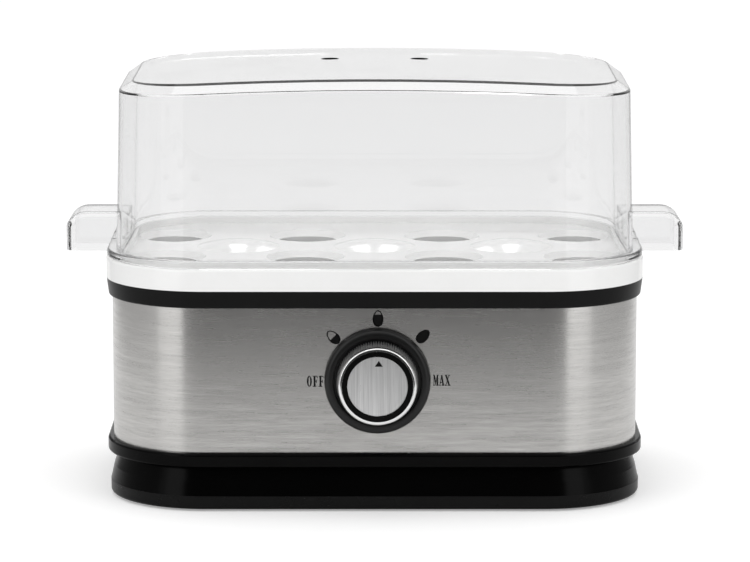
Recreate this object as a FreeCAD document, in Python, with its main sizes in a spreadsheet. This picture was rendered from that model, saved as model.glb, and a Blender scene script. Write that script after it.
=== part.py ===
import FreeCAD, Part
import math
import os

import Sketcher
from FreeCAD import Placement, Rotation, Vector

# A countertop egg boiler. Millimetres, +Z up, front towards -Y, origin on the table under the
# middle of the whole object. Every outline is the body's rounded rectangle, set in by a named inset.

# Driving sizes. Each is one cell of the sheet, under its own name.
SIZES = (
    # The outline seen from above, and the heights of the stack from the table up
    ("body_width", 214.5),
    ("body_depth", 141.0),
    ("corner_radius", 40.8),
    ("foot_proud", 0.8),
    ("cover_height", 5.4),
    ("housing_height", 17.2),
    ("band_height", 57.8),
    ("ring_height", 6.9),
    ("tray_height", 8.6),
    ("lid_height", 73.4),
    # Clearances and the overrun of a cut
    ("seat_gap", 0.3),
    ("thread_gap", 0.05),
    ("bearing_gap", 0.05),
    ("overrun", 2.0),
    # Foot plate
    ("cover_inset", 1.0),
    ("cover_wall", 2.4),
    ("cover_floor", 2.4),
    ("cover_edge", 1.4),
    ("cover_rib", 1.4),
    ("cover_rib_rise", 1.0),
    ("vent_length", 26.0),
    ("vent_width", 2.4),
    ("vent_pitch", 6.0),
    ("vent_back", -26.0),
    # Rubber feet
    ("foot_radius", 7.0),
    ("foot_sink", 1.0),
    ("foot_step_across", 16.0),
    ("foot_step_deep", 13.0),
    # Waisted housing
    ("skirt_foot_inset", 1.1),
    ("skirt_mid_inset", 2.3),
    ("skirt_neck_inset", 4.4),
    ("skirt_wall", 2.4),
    ("flange_height", 5.5),
    ("flange_edge", 1.0),
    ("tongue_height", 6.0),
    ("tongue_wall", 2.2),
    # Screw pillars and the four long screws
    ("pillar_inset", 10.0),
    ("pillar_radius", 3.5),
    ("pillar_split", 34.0),
    ("gusset_sheet", 1.6),
    ("cover_pillar_radius", 5.2),
    ("screw_radius", 1.5),
    ("screw_head_radius", 2.9),
    ("screw_head_height", 2.2),
    ("screw_head_sink", 2.8),
    ("screw_bite", 12.0),
    # Steel casing band
    ("band_inset", 2.3),
    ("band_sheet", 0.8),
    # Ring that carries the pan
    ("ring_draft", 0.9),
    ("ring_edge", 0.8),
    ("ring_plate", 2.0),
    ("rim_width", 11.0),
    ("rim_wall", 2.0),
    ("ledge_drop", 5.1),
    ("ledge_width", 3.0),
    ("ledge_sheet", 2.0),
    # Water pan, its seal and the spreader under it
    ("gasket_height", 1.0),
    ("pan_sheet", 0.8),
    ("pan_depth", 9.8),
    ("pan_bend", 4.8),
    ("spreader_width", 152.0),
    ("spreader_depth", 84.0),
    ("spreader_corner", 26.0),
    ("spreader_sheet", 1.5),
    # Heating element
    ("element_radius", 3.2),
    ("loop_width", 124.0),
    ("loop_depth", 60.0),
    ("loop_corner", 16.0),
    ("tail_bend", 9.0),
    ("pin_spread", 28.0),
    ("tail_length", 14.0),
    ("pin_radius", 1.5),
    ("pin_length", 10.0),
    ("bead_radius", 2.6),
    ("bead_length", 4.0),
    # Heat shield, its studs and nuts
    ("shield_sheet", 0.8),
    ("shield_depth", 20.6),
    ("shield_flange", 4.0),
    ("shield_taper", 8.0),
    ("shield_low_height", 6.0),
    ("shield_high_height", 5.0),
    ("stud_radius", 2.0),
    ("stud_across", 92.0),
    ("stud_deep", 30.0),
    ("nut_flats", 7.0),
    ("nut_height", 3.2),
    ("tag_radius", 3.8),
    ("tag_sheet", 0.8),
    ("tag_tail", 11.0),
    ("lead_hole_radius", 5.6),
    ("lead_hole_back", -21.0),
    ("sleeve_lip", 1.4),
    # Dry-boil cutout, its strap, and the thermal fuse with its clip
    ("cutout_across", -28.0),
    ("cutout_back", -7.0),
    ("cutout_radius", 8.0),
    ("cutout_height", 5.0),
    ("cutout_tab_spread", 9.0),
    ("cutout_tab_width", 3.0),
    ("cutout_tab_length", 3.6),
    ("strap_width", 3.0),
    ("strap_span", 24.0),
    ("strap_sheet", 0.8),
    ("fuse_radius", 2.0),
    ("fuse_length", 9.0),
    ("fuse_lead_radius", 0.6),
    ("fuse_lead_length", 3.0),
    ("clip_width", 4.0),
    # Knob place on the steel, and its bezel
    ("knob_across", 1.1),
    ("knob_level", 52.3),
    ("bezel_radius", 20.85),
    ("bezel_height", 3.4),
    ("bezel_bore", 17.1),
    ("bezel_floor", 1.0),
    ("bezel_edge", 2.4),
    ("bezel_lip", 0.7),
    ("spigot_radius", 13.2),
    ("bezel_eye", 5.4),
    ("neck_pocket", 6.4),
    ("band_hole", 13.5),
    # Knob, its bright sleeve, disc and clip
    ("knob_lift", 1.5),
    ("knob_reach", 13.0),
    ("sleeve_foot_radius", 16.2),
    ("sleeve_top_radius", 15.3),
    ("sleeve_wall", 1.4),
    ("sleeve_edge", 1.0),
    ("sleeve_collar", 2.6),
    ("tooth_depth", 0.55),
    ("knob_face_drop", 0.7),
    ("knob_face", 2.2),
    ("hub_radius", 5.3),
    ("disc_radius", 11.75),
    ("disc_sheet", 0.8),
    ("disc_drop", 0.4),
    # Control behind the steel, with its shaft, cam and contact
    ("shaft_radius", 3.0),
    ("shaft_reach", 9.4),
    ("shaft_flat", 2.0),
    ("shaft_flat_length", 7.0),
    ("journal_radius", 2.0),
    ("clip_sheet", 0.4),
    ("key_width", 3.4),
    ("bracket_width", 50.0),
    ("bracket_height", 25.0),
    ("bracket_sheet", 1.2),
    ("bracket_screw_spread", 38.0),
    ("bracket_screw_radius", 1.25),
    ("bracket_head_radius", 2.4),
    ("bracket_head_height", 1.6),
    ("bracket_screw_bite", 2.4),
    ("neck_radius", 4.7),
    ("neck_lip", 0.9),
    ("neck_lip_height", 0.6),
    ("control_width", 26.0),
    ("control_depth", 11.5),
    ("control_front", 3.0),
    ("control_bore", 10.5),
    ("back_sheet", 1.5),
    ("cam_radius", 7.6),
    ("cam_height", 3.4),
    ("cam_lift", 1.0),
    ("leaf_width", 3.0),
    ("leaf_sheet", 0.4),
    ("leaf_level", 8.9),
    ("tab_width", 4.8),
    ("tab_sheet", 0.8),
    ("tab_length", 7.0),
    ("tab_spread", 7.5),
    ("tab_drop", 6.0),
    # Fittings on the foot plate: buzzer, terminal block, cord clamp and cord bushing
    ("post_radius", 2.8),
    ("post_height", 3.0),
    ("small_screw_radius", 1.3),
    ("small_head_radius", 2.5),
    ("small_head_height", 1.6),
    ("small_screw_bite", 2.0),
    ("buzzer_across", -46.0),
    ("buzzer_back", 18.0),
    ("buzzer_radius", 11.0),
    ("buzzer_height", 9.0),
    ("buzzer_ear_spread", 30.0),
    ("buzzer_ear_width", 6.0),
    ("buzzer_ear_sheet", 1.6),
    ("block_across", 26.0),
    ("block_back", 38.0),
    ("block_width", 30.0),
    ("block_depth", 16.0),
    ("block_height", 11.0),
    ("block_pitch", 9.0),
    ("block_bore", 2.0),
    ("cord_across", 60.0),
    ("cord_level", 12.2),
    ("cord_hole", 3.6),
    ("bushing_radius", 4.6),
    ("bushing_lip", 1.0),
    ("bushing_lip_sheet", 1.0),
    ("clamp_back", 46.0),
    ("clamp_spread", 20.0),
    ("clamp_width", 8.0),
    ("clamp_sheet", 2.0),
    # Internal leads
    ("lead_radius", 1.1),
    ("lead_bend", 4.0),
    ("lead_tight_bend", 2.4),
    ("lead_pair_gap", 0.7),
    ("lead_run", 14.0),
    # Egg tray
    ("tray_wall", 2.0),
    ("tray_edge", 1.0),
    ("tray_lip_inset", 6.2),
    ("tray_lip_sheet", 1.5),
    ("tray_lip_height", 1.4),
    ("tray_recess", 1.5),
    ("tray_floor", 2.0),
    ("tray_key_sheet", 1.6),
    ("tray_key_depth", 2.6),
    ("seat_pitch_across", 55.5),
    ("seat_pitch_deep", 55.0),
    ("seat_radius", 15.8),
    ("seat_neck", 13.4),
    ("seat_depth", 2.2),
    ("seat_hole", 12.6),
    ("hill_radius", 17.0),
    ("hill_height", 2.6),
    # Lid
    ("lid_inset", 3.9),
    ("lid_draft", 2.0),
    ("lid_wall", 1.7),
    ("lid_bevel_across", 5.5),
    ("lid_bevel_down", 3.6),
    ("lid_crown_radius", 1450.0),
    ("lid_flange_inset", 0.3),
    ("lid_flange_height", 3.0),
    ("lid_flange_edge", 0.9),
    ("vent_hole_radius", 3.65),
    ("vent_hole_spread", 36.5),
    ("vent_hole_back", 17.0),
    ("ear_reach", 17.7),
    ("ear_width", 22.0),
    ("ear_height", 15.9),
    ("ear_hang", 1.8),
    ("ear_corner", 4.5),
    ("ear_crown", 8.5),
    ("ear_relief", 0.3),
    ("ear_edge", 0.8),
    ("ear_wall", 2.4),
)

# Counts and shares that no length sets
TOOTH_COUNT = 100
TOOTH_GAP_SHARE = 0.9
SKIRT_MID_SHARE = 0.48
SEAT_COLUMNS = 4
SEAT_ROWS = 2
VENT_SLOTS = 7
BLOCK_POLES = 3

doc = FreeCAD.newDocument("egg_boiler")
sheet = doc.addObject("Spreadsheet::Sheet", "sizes")
for row, (alias, number) in enumerate(SIZES, start=1):
    sheet.set("A%d" % row, alias)
    sheet.set("B%d" % row, "%g" % number)
    sheet.setAlias("B%d" % row, alias)
doc.recompute()


class Size:
    """A length that knows its number and the expression of sheet cells that it comes from."""

    def __init__(self, number, text):
        self.number = number
        self.text = text

    def _join(self, other, sign, number, turned=False):
        text = other.text if isinstance(other, Size) else "%.9g" % other
        pair = (text, self.text) if turned else (self.text, text)
        return Size(number, "(%s %s %s)" % (pair[0], sign, pair[1]))

    def __add__(self, other):
        return self._join(other, "+", self.number + float(other))

    def __radd__(self, other):
        return self if not other else self._join(other, "+", float(other) + self.number, True)

    def __sub__(self, other):
        return self._join(other, "-", self.number - float(other))

    def __mul__(self, other):
        return self._join(other, "*", self.number * float(other))

    def __truediv__(self, other):
        return self._join(other, "/", self.number / float(other))

    def __neg__(self):
        return Size(-self.number, "(-1 * %s)" % self.text)

    def __float__(self):
        return float(self.number)


class Sizes:
    """The sheet's cells as Size values, by name."""

    def __getattr__(self, name):
        return Size(float(sheet.get(name)), "sizes.%s" % name)


S = Sizes()
NIL = Size(0.0, "0")

# Places that follow from the driving sizes
half_width = S.body_width / 2
half_depth = S.body_depth / 2
cover_top = S.foot_proud + S.cover_height
housing_top = cover_top + S.housing_height
flange_foot = housing_top - S.flange_height
band_top = housing_top + S.band_height
ring_top = band_top + S.ring_height
tray_top = ring_top + S.tray_height
lid_top = tray_top + S.lid_height
cover_floor_top = S.foot_proud + S.cover_floor
tongue_inset = S.band_inset + S.band_sheet + S.seat_gap
steel_front = half_depth - S.band_inset
half_diagonal = math.sqrt(0.5)
pillar_arm = (S.corner_radius - S.pillar_inset) * half_diagonal
pillar_x = half_width - S.corner_radius + pillar_arm
pillar_y = half_depth - S.corner_radius + pillar_arm
ledge_top = ring_top - S.ledge_drop
pan_flange_foot = ledge_top + S.gasket_height
ledge_inset = S.rim_width + S.ledge_width
pan_inset = ledge_inset + S.shield_sheet + S.seat_gap * 2
pan_foot = pan_flange_foot - S.pan_depth
spreader_foot = pan_foot - S.spreader_sheet
element_level = spreader_foot - S.element_radius
shield_top = ledge_top - S.ledge_sheet
shield_foot = shield_top - S.shield_depth
# The knob stands out in front, so the middle of the whole object lies in front of the outline's
shift = (S.knob_reach - S.band_inset) / 2

finished = []
bound_y = {}


def bind(thing, path, size):
    """Ties one property of an object to the sheet."""
    thing.setExpression(path, size.text if isinstance(size, Size) else "%.9g" % size)


def put(thing, x, y, z, turn=None):
    """Places an object at bound coordinates, turned by a fixed rotation."""
    thing.Placement = Placement(Vector(float(x), float(y), float(z)), turn or Rotation())
    bind(thing, "Placement.Base.x", x)
    bind(thing, "Placement.Base.y", y)
    bind(thing, "Placement.Base.z", z)
    bound_y[thing.Name] = y
    return thing


def finish(thing, label):
    """Names a finished piece and moves it with the whole object's middle."""
    thing.Label = label
    if thing.Name not in bound_y:
        bound_y[thing.Name] = NIL
    bind(thing, "Placement.Base.y", bound_y[thing.Name] + shift)
    finished.append(thing)
    return thing


# Primitives, their booleans and groups

ALONG_Z = Rotation()
ALONG_Y = Rotation(Vector(1, 0, 0), -90)
OUTWARD = Rotation(Vector(1, 0, 0), 90)


def box(name, low, span):
    """A box from its low corner and its three lengths."""
    thing = doc.addObject("Part::Box", name)
    for path, size in zip(("Length", "Width", "Height"), span):
        bind(thing, path, size)
    return put(thing, *low)


def centred_box(name, middle, foot, span):
    """A box centred on a point seen from above, standing on a level."""
    low = (middle[0] - span[0] / 2, middle[1] - span[1] / 2, foot)
    return box(name, low, span)


def rod(name, radius, length, start, turn=ALONG_Z):
    """A cylinder from its start point along one axis."""
    thing = doc.addObject("Part::Cylinder", name)
    bind(thing, "Radius", radius)
    bind(thing, "Height", length)
    return put(thing, *start, turn=turn)


def hole(name, radius, spot, foot, top):
    """An upright cutting rod that runs past both faces of what it cuts."""
    return rod(name, radius, top - foot + S.overrun * 2, (*spot, foot - S.overrun))


def level_hole(name, radius, spot, front, back):
    """A cutting rod from front to back, at a spot given across and up, past both faces."""
    start = (spot[0], front - S.overrun, spot[1])
    return rod(name, radius, back - front + S.overrun * 2, start, ALONG_Y)


def cone(name, low_radius, high_radius, height, start):
    """A cone frustum standing on a level."""
    thing = doc.addObject("Part::Cone", name)
    bind(thing, "Radius1", low_radius)
    bind(thing, "Radius2", high_radius)
    bind(thing, "Height", height)
    return put(thing, *start)


def cut(name, base, *tools):
    """A piece with every tool taken away."""
    tool = tools[0] if len(tools) == 1 else fuse(name + "_tools", *tools)
    thing = doc.addObject("Part::Cut", name)
    thing.Base = base
    thing.Tool = tool
    return thing


def fuse(name, *shapes):
    """Several solids as one."""
    thing = doc.addObject("Part::MultiFuse", name)
    thing.Shapes = list(shapes)
    return thing


def common(name, *shapes):
    """What several solids share."""
    thing = doc.addObject("Part::MultiCommon", name)
    thing.Shapes = list(shapes)
    return thing


def group(name, *shapes):
    """Like pieces that stay separate solids in one node."""
    thing = doc.addObject("Part::Compound", name)
    thing.Links = list(shapes)
    return thing


def rounded(name, base, picks, radius):
    """A Part fillet on the edges that a test picks from the computed shape."""
    doc.recompute()
    numbers = [i for i, edge in enumerate(base.Shape.Edges, start=1) if picks(edge)]
    if not numbers:
        raise ValueError(name + " found no edge to round")
    thing = doc.addObject("Part::Fillet", name)
    thing.Base = base
    thing.Edges = [(i, float(radius), float(radius)) for i in numbers]
    return thing


def bevelled(name, base, picks, across, down):
    """A Part chamfer, so far across and so far down, on the top edges that a test picks."""
    doc.recompute()
    cuts = []
    for i, edge in enumerate(base.Shape.Edges, start=1):
        if not picks(edge):
            continue
        first = base.Shape.ancestorsOfType(edge, Part.Face)[0]
        level = first.normalAt(*first.Surface.parameter(edge.Vertexes[0].Point)).z > half_diagonal
        pair = (across, down) if level else (down, across)
        cuts.append((i, float(pair[0]), float(pair[1])))
    if not cuts:
        raise ValueError(name + " found no edge to bevel")
    thing = doc.addObject("Part::Chamfer", name)
    thing.Base = base
    thing.Edges = cuts
    return thing


def near(one, other):
    """Whether two lengths are the same place."""
    return abs(float(one) - float(other)) < 1e-3


def four_corners(x, y):
    """The four mirrored places of one point seen from above."""
    return [(x, y), (-x, y), (-x, -y), (x, -y)]


# Sketches

def constrain_point(sketch, index, end, x, y):
    """Ties one sketch point to coordinates measured from the origin."""
    for kind, axis, size in (("DistanceX", -2, x), ("DistanceY", -1, y)):
        if near(size, 0):
            sketch.addConstraint(Sketcher.Constraint("PointOnObject", index, end, axis))
            continue
        value = abs(float(size))
        ends = (-1, 1, index, end) if float(size) > 0 else (index, end, -1, 1)
        number = sketch.addConstraint(Sketcher.Constraint(kind, *ends, value))
        bind(sketch, "Constraints[%d]" % number, size if float(size) > 0 else -size)


def draw_outline(sketch, inset):
    """Draws the body's rounded rectangle, set in, as four lines and four arcs."""
    w, d, r = [float(size - inset) for size in (half_width, half_depth, S.corner_radius)]
    first = sketch.GeometryCount
    quarter = math.pi / 2
    sides = (
        ((r - w, -d), (w - r, -d), (w - r, r - d), -quarter),
        ((w, r - d), (w, d - r), (w - r, d - r), 0),
        ((w - r, d), (r - w, d), (r - w, d - r), quarter),
        ((-w, d - r), (-w, r - d), (r - w, r - d), math.pi),
    )
    for start, end, (x, y), angle in sides:
        sketch.addGeometry(Part.LineSegment(Vector(*start, 0), Vector(*end, 0)), False)
        circle = Part.Circle(Vector(x, y, 0), Vector(0, 0, 1), r)
        sketch.addGeometry(Part.ArcOfCircle(circle, angle, angle + quarter), False)
    made = [first + i for i in range(8)]
    joint = Sketcher.Constraint
    sketch.addConstraint([joint("Tangent", made[i], 2, made[(i + 1) % 8], 1) for i in range(8)])
    sketch.addConstraint([joint("Horizontal", made[0]), joint("Vertical", made[2])])
    sketch.addConstraint([joint("Horizontal", made[4]), joint("Vertical", made[6])])
    sketch.addConstraint([joint("Equal", made[1], made[i]) for i in (3, 5, 7)])
    places = (
        (("DistanceX", -1, 1, made[2], 1, w), half_width - inset),
        (("DistanceX", made[6], 1, -1, 1, w), half_width - inset),
        (("DistanceY", -1, 1, made[4], 1, d), half_depth - inset),
        (("DistanceY", made[0], 1, -1, 1, d), half_depth - inset),
        (("Radius", made[1], r), S.corner_radius - inset),
    )
    for terms, size in places:
        number = sketch.addConstraint(joint(*terms))
        bind(sketch, "Constraints[%d]" % number, size)


def draw_circles(sketch, spots, radius):
    """Draws one circle of the same radius at each spot."""
    for x, y in spots:
        index = sketch.addGeometry(
            Part.Circle(Vector(float(x), float(y), 0), Vector(0, 0, 1), float(radius)), False)
        constrain_point(sketch, index, 3, x, y)
        number = sketch.addConstraint(Sketcher.Constraint("Radius", index, float(radius)))
        bind(sketch, "Constraints[%d]" % number, radius)


def draw_polygon(sketch, points):
    """Draws a closed outline of straight lines through bound points."""
    count = len(points)
    made = []
    for i, (x, y) in enumerate(points):
        next_x, next_y = points[(i + 1) % count]
        line = Part.LineSegment(Vector(float(x), float(y), 0), Vector(float(next_x), float(next_y), 0))
        made.append(sketch.addGeometry(line, False))
    for i in range(count):
        ends = (made[i], 2, made[(i + 1) % count], 1)
        sketch.addConstraint(Sketcher.Constraint("Coincident", *ends))
    for index, (x, y) in zip(made, points):
        constrain_point(sketch, index, 1, x, y)


class Moulding:
    """A PartDesign body made of features on sketches over its own origin planes."""

    def __init__(self, name):
        self.body = doc.addObject("PartDesign::Body", name)
        self.name = name
        self.count = 0

    def sketch(self, level, role="XY_Plane"):
        """An empty sketch on an origin plane, lifted to a level along the plane's normal."""
        self.count += 1
        made = self.body.newObject("Sketcher::SketchObject", "%s_sketch_%d" % (self.name, self.count))
        plane = next(f for f in self.body.Origin.OriginFeatures if f.Role == role)
        made.AttachmentSupport = [(plane, "")]
        made.MapMode = "FlatFace"
        made.AttachmentOffset = Placement(Vector(0, 0, float(level)), Rotation())
        bind(made, "AttachmentOffset.Base.z", level)
        return made

    def outline(self, level, *insets):
        """A sketch that holds the body's outline once for each inset."""
        made = self.sketch(level)
        for inset in insets:
            draw_outline(made, inset)
        return made

    def circles(self, level, spots, radius):
        """A sketch of equal circles."""
        made = self.sketch(level)
        draw_circles(made, spots, radius)
        return made

    def feature(self, kind, profile, grows):
        """Adds a feature and hands it back with the volume that was there before it."""
        tip = self.body.Tip
        before = tip.Shape.Volume if tip and tip.Shape.Solids else 0.0
        self.count += 1
        made = self.body.newObject("PartDesign::" + kind, "%s_%s_%d" % (self.name, kind, self.count))
        made.Profile = profile
        self.waiting = (made, before, grows)
        return made

    def settle(self):
        """Recomputes, and stops the build if the last feature changed nothing."""
        doc.recompute()
        made, before, grows = self.waiting
        change = made.Shape.Volume - before
        if not made.Shape.Solids or (change <= 0 if grows else change >= 0):
            raise ValueError("%s changed nothing" % made.Name)
        return made

    def pad(self, profile, height, grows=True):
        """Extrudes a sketch upwards by a height."""
        bind(self.feature("Pad", profile, grows), "Length", height)
        return self.settle()

    def pocket(self, profile, depth):
        """Cuts a sketch downwards by a depth."""
        bind(self.feature("Pocket", profile, False), "Length", depth)
        return self.settle()

    def loft(self, *profiles):
        """Joins outlines at several levels by straight walls."""
        made = self.feature("AdditiveLoft", profiles[0], True)
        made.Sections = list(profiles[1:])
        made.Ruled = True
        return self.settle()

    def hollow_loft(self, *profiles):
        """Cuts the space between outlines at several levels."""
        made = self.feature("SubtractiveLoft", profiles[0], False)
        made.Sections = list(profiles[1:])
        made.Ruled = True
        return self.settle()

    def turn(self, points):
        """Revolves a closed outline of (radius, height) points about the vertical axis."""
        made = self.sketch(NIL, "XZ_Plane")
        draw_polygon(made, points)
        spun = self.feature("Revolution", made, True)
        spun.ReferenceAxis = (made, ["V_Axis"])
        spun.Angle = 360.0
        return self.settle()

    def round_edges(self, picks, radius):
        """Rounds the edges that a test picks from the body's last shape."""
        tip = self.body.Tip
        names = ["Edge%d" % i for i, edge in enumerate(tip.Shape.Edges, start=1) if picks(edge)]
        if not names:
            raise ValueError(self.name + " found no edge to round")
        made = self.body.newObject("PartDesign::Fillet", "%s_round_%d" % (self.name, self.count))
        self.count += 1
        made.Base = (tip, names)
        bind(made, "Radius", radius)
        doc.recompute()
        return made


def on_outline(level, inset):
    """A test for the straight edges of the outline with an inset at a level."""
    def picks(edge):
        ends = [v.Point for v in edge.Vertexes]
        if len(ends) < 2 or not all(near(p.z, level) for p in ends):
            return False
        middle = (ends[0] + ends[1]) / 2
        across = near(abs(middle.x), half_width - inset) and near(middle.y, 0)
        deep = near(abs(middle.y), half_depth - inset) and near(middle.x, 0)
        return across or deep
    return picks


def on_circle(level, radius):
    """A test for a circular edge of a radius at a level, about the body's own axis."""
    def picks(edge):
        curve = edge.Curve
        if curve.TypeId != "Part::GeomCircle":
            return False
        return near(curve.Radius, radius) and near(curve.Center.z, level) and near(curve.Center.x, 0)
    return picks


# Swept tubes

def tube_route(points, bends):
    """Straight runs through the points, joined by tangent arcs of the given radii."""
    places = [Vector(float(x), float(y), float(z)) for x, y, z in points]
    edges = []
    start = places[0]
    for here, ahead, bend in zip(places[1:-1], places[2:], bends):
        came = (here - start).normalize()
        goes = (ahead - here).normalize()
        half_turn = came.getAngle(goes) / 2
        reach = float(bend) * math.tan(half_turn)
        first = here - came * reach
        last = here + goes * reach
        inward = (goes - came).normalize()
        middle = here + inward * (float(bend) / math.cos(half_turn) - float(bend))
        edges.append(Part.LineSegment(start, first).toShape())
        edges.append(Part.Arc(first, middle, last).toShape())
        start = last
    edges.append(Part.LineSegment(start, places[-1]).toShape())
    return Part.Wire(edges)


def tube(label, points, radius, bends):
    """A round tube along a route, checked against its section times its length."""
    route = tube_route(points, bends)
    along = (Vector(*map(float, points[1])) - Vector(*map(float, points[0]))).normalize()
    start = Vector(*map(float, points[0]))
    section = Part.Wire([Part.Circle(start, along, float(radius)).toShape()])
    shape = route.makePipeShell([section], True, True)
    expected = math.pi * float(radius) ** 2 * route.Length
    if abs(shape.Volume / expected - 1) > 0.01:
        raise ValueError("%s has a wrong volume" % label)
    thing = doc.addObject("Part::Feature", label)
    thing.Shape = shape
    return thing


# Casing: foot plate, housing, steel band and top ring

def foot_spots():
    """Places of the rubber feet, inboard of the screws."""
    return four_corners(pillar_x - S.foot_step_across, pillar_y - S.foot_step_deep)


def small_posts():
    """Places of the foot plate's posts: two for the buzzer, one for the block, two for the clamp."""
    half_ear = S.buzzer_ear_spread / 2
    half_clamp = S.clamp_spread / 2
    return [
        (S.buzzer_across - half_ear, S.buzzer_back),
        (S.buzzer_across + half_ear, S.buzzer_back),
        (S.block_across + S.block_pitch / 2, S.block_back),
        (S.cord_across - half_clamp, S.clamp_back),
        (S.cord_across + half_clamp, S.clamp_back),
    ]


def make_bottom_cover():
    """Foot plate: floor, wall, locating rib, screw pillars, foot recesses, posts and vent slots."""
    plate = Moulding("bottom_cover_body")
    plate.pad(plate.outline(S.foot_proud, S.cover_inset), S.cover_height)
    plate.round_edges(on_outline(S.foot_proud, S.cover_inset), S.cover_edge)
    hollow = cover_top - cover_floor_top
    plate.pocket(plate.outline(cover_top, S.cover_inset + S.cover_wall), hollow)
    rib_inset = S.skirt_foot_inset + S.skirt_wall + S.seat_gap * 2
    rib = plate.outline(cover_floor_top, rib_inset, rib_inset + S.cover_rib)
    plate.pad(rib, hollow + S.cover_rib_rise)
    spots = four_corners(pillar_x, pillar_y)
    plate.pad(plate.circles(cover_floor_top, spots, S.cover_pillar_radius), hollow)
    plate.pad(plate.circles(cover_floor_top, small_posts(), S.post_radius), S.post_height)
    plate.pocket(plate.circles(cover_top, spots, S.screw_radius + S.seat_gap), S.cover_height)
    sink_level = S.foot_proud + S.screw_head_sink
    sinks = plate.circles(sink_level, spots, S.screw_head_radius + S.seat_gap)
    plate.pocket(sinks, S.screw_head_sink)
    recesses = plate.circles(S.foot_proud + S.foot_sink, foot_spots(), S.foot_radius)
    plate.pocket(recesses, S.foot_sink)
    post_top = cover_floor_top + S.post_height
    pilots = plate.circles(post_top, small_posts(), S.small_screw_radius + S.thread_gap)
    plate.pocket(pilots, S.small_screw_bite + S.seat_gap)
    slots = []
    for i in range(VENT_SLOTS):
        middle = (S.vent_pitch * (i - (VENT_SLOTS - 1) / 2), S.vent_back)
        span = (S.vent_width, S.vent_length, S.cover_floor + S.overrun * 2)
        slots.append(centred_box("vent_slot_%d" % i, middle, S.foot_proud - S.overrun, span))
    finish(cut("bottom_cover", plate.body, *slots), "bottom_cover")


def make_rubber_feet():
    """Four discs pressed into the foot plate's recesses."""
    height = S.foot_proud + S.foot_sink
    feet = []
    for i, (x, y) in enumerate(foot_spots()):
        feet.append(rod("foot_%d" % i, S.foot_radius - S.thread_gap, height, (x, y, NIL)))
    finish(group("rubber_feet", *feet), "rubber_feet")


def make_lower_housing():
    """Waisted skirt with the overhanging flange, the tongue inside the steel and four pillars."""
    shell = Moulding("lower_housing_body")
    mid_level = cover_top + (flange_foot - cover_top) * SKIRT_MID_SHARE
    skirt = (
        (cover_top, S.skirt_foot_inset),
        (mid_level, S.skirt_mid_inset),
        (flange_foot, S.skirt_neck_inset),
    )
    shell.loft(*[shell.outline(level, inset) for level, inset in skirt])
    shell.pad(shell.outline(flange_foot, NIL), S.flange_height)
    shell.round_edges(on_outline(housing_top, NIL), S.flange_edge)
    shell.round_edges(on_outline(flange_foot, NIL), S.flange_edge)
    shell.pad(shell.outline(housing_top, tongue_inset), S.tongue_height)
    shell.hollow_loft(*[shell.outline(level, inset + S.skirt_wall) for level, inset in skirt])
    tongue_top = housing_top + S.tongue_height
    bore = shell.outline(tongue_top, tongue_inset + S.tongue_wall)
    shell.pocket(bore, tongue_top - flange_foot)
    spots = four_corners(pillar_x, pillar_y)
    rise = S.pillar_split - cover_top
    shell.pad(shell.circles(cover_top, spots, S.pillar_radius), rise)
    shell.pocket(shell.circles(S.pillar_split, spots, S.screw_radius + S.seat_gap), rise)
    start = S.screw_radius + S.gusset_sheet
    reach = S.pillar_inset - tongue_inset - S.tongue_wall / 2
    out = start * half_diagonal
    side = S.gusset_sheet / 2 * half_diagonal
    gussets = []
    for i, (x, y) in enumerate(spots):
        sign_x = math.copysign(1, float(x))
        sign_y = math.copysign(1, float(y))
        low = (x + out * sign_x + side * sign_y, y + out * sign_y - side * sign_x, flange_foot)
        web = box("gusset_%d" % i, low, (reach - start, S.gusset_sheet, tongue_top - flange_foot))
        web.Placement.Rotation = Rotation(Vector(0, 0, 1), math.degrees(math.atan2(sign_y, sign_x)))
        gussets.append(web)
    skirt_back = half_depth - S.skirt_neck_inset - S.skirt_wall
    spot = (S.cord_across, S.cord_level)
    bushing = level_hole("bushing_hole", S.bushing_radius, spot, skirt_back, half_depth)
    whole = fuse("lower_housing_whole", shell.body, *gussets)
    finish(cut("lower_housing", whole, bushing), "lower_housing")


def make_steel_band():
    """Sheet band round the body with the control's hole and two screw holes in its front."""
    band = Moulding("steel_band_body")
    sheet_outline = band.outline(housing_top, S.band_inset, S.band_inset + S.band_sheet)
    band.pad(sheet_outline, S.band_height)
    sheet_back = S.band_sheet - steel_front
    spot = (S.knob_across, S.knob_level)
    tools = [level_hole("control_hole", S.band_hole, spot, -steel_front, sheet_back)]
    for i, side in enumerate((-1, 1)):
        spot = (S.knob_across + S.bracket_screw_spread / 2 * side, S.knob_level)
        radius = S.bracket_screw_radius + S.seat_gap
        tools.append(level_hole("band_screw_hole_%d" % i, radius, spot, -steel_front, sheet_back))
    finish(cut("steel_band", band.body, *tools), "steel_band")


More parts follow.
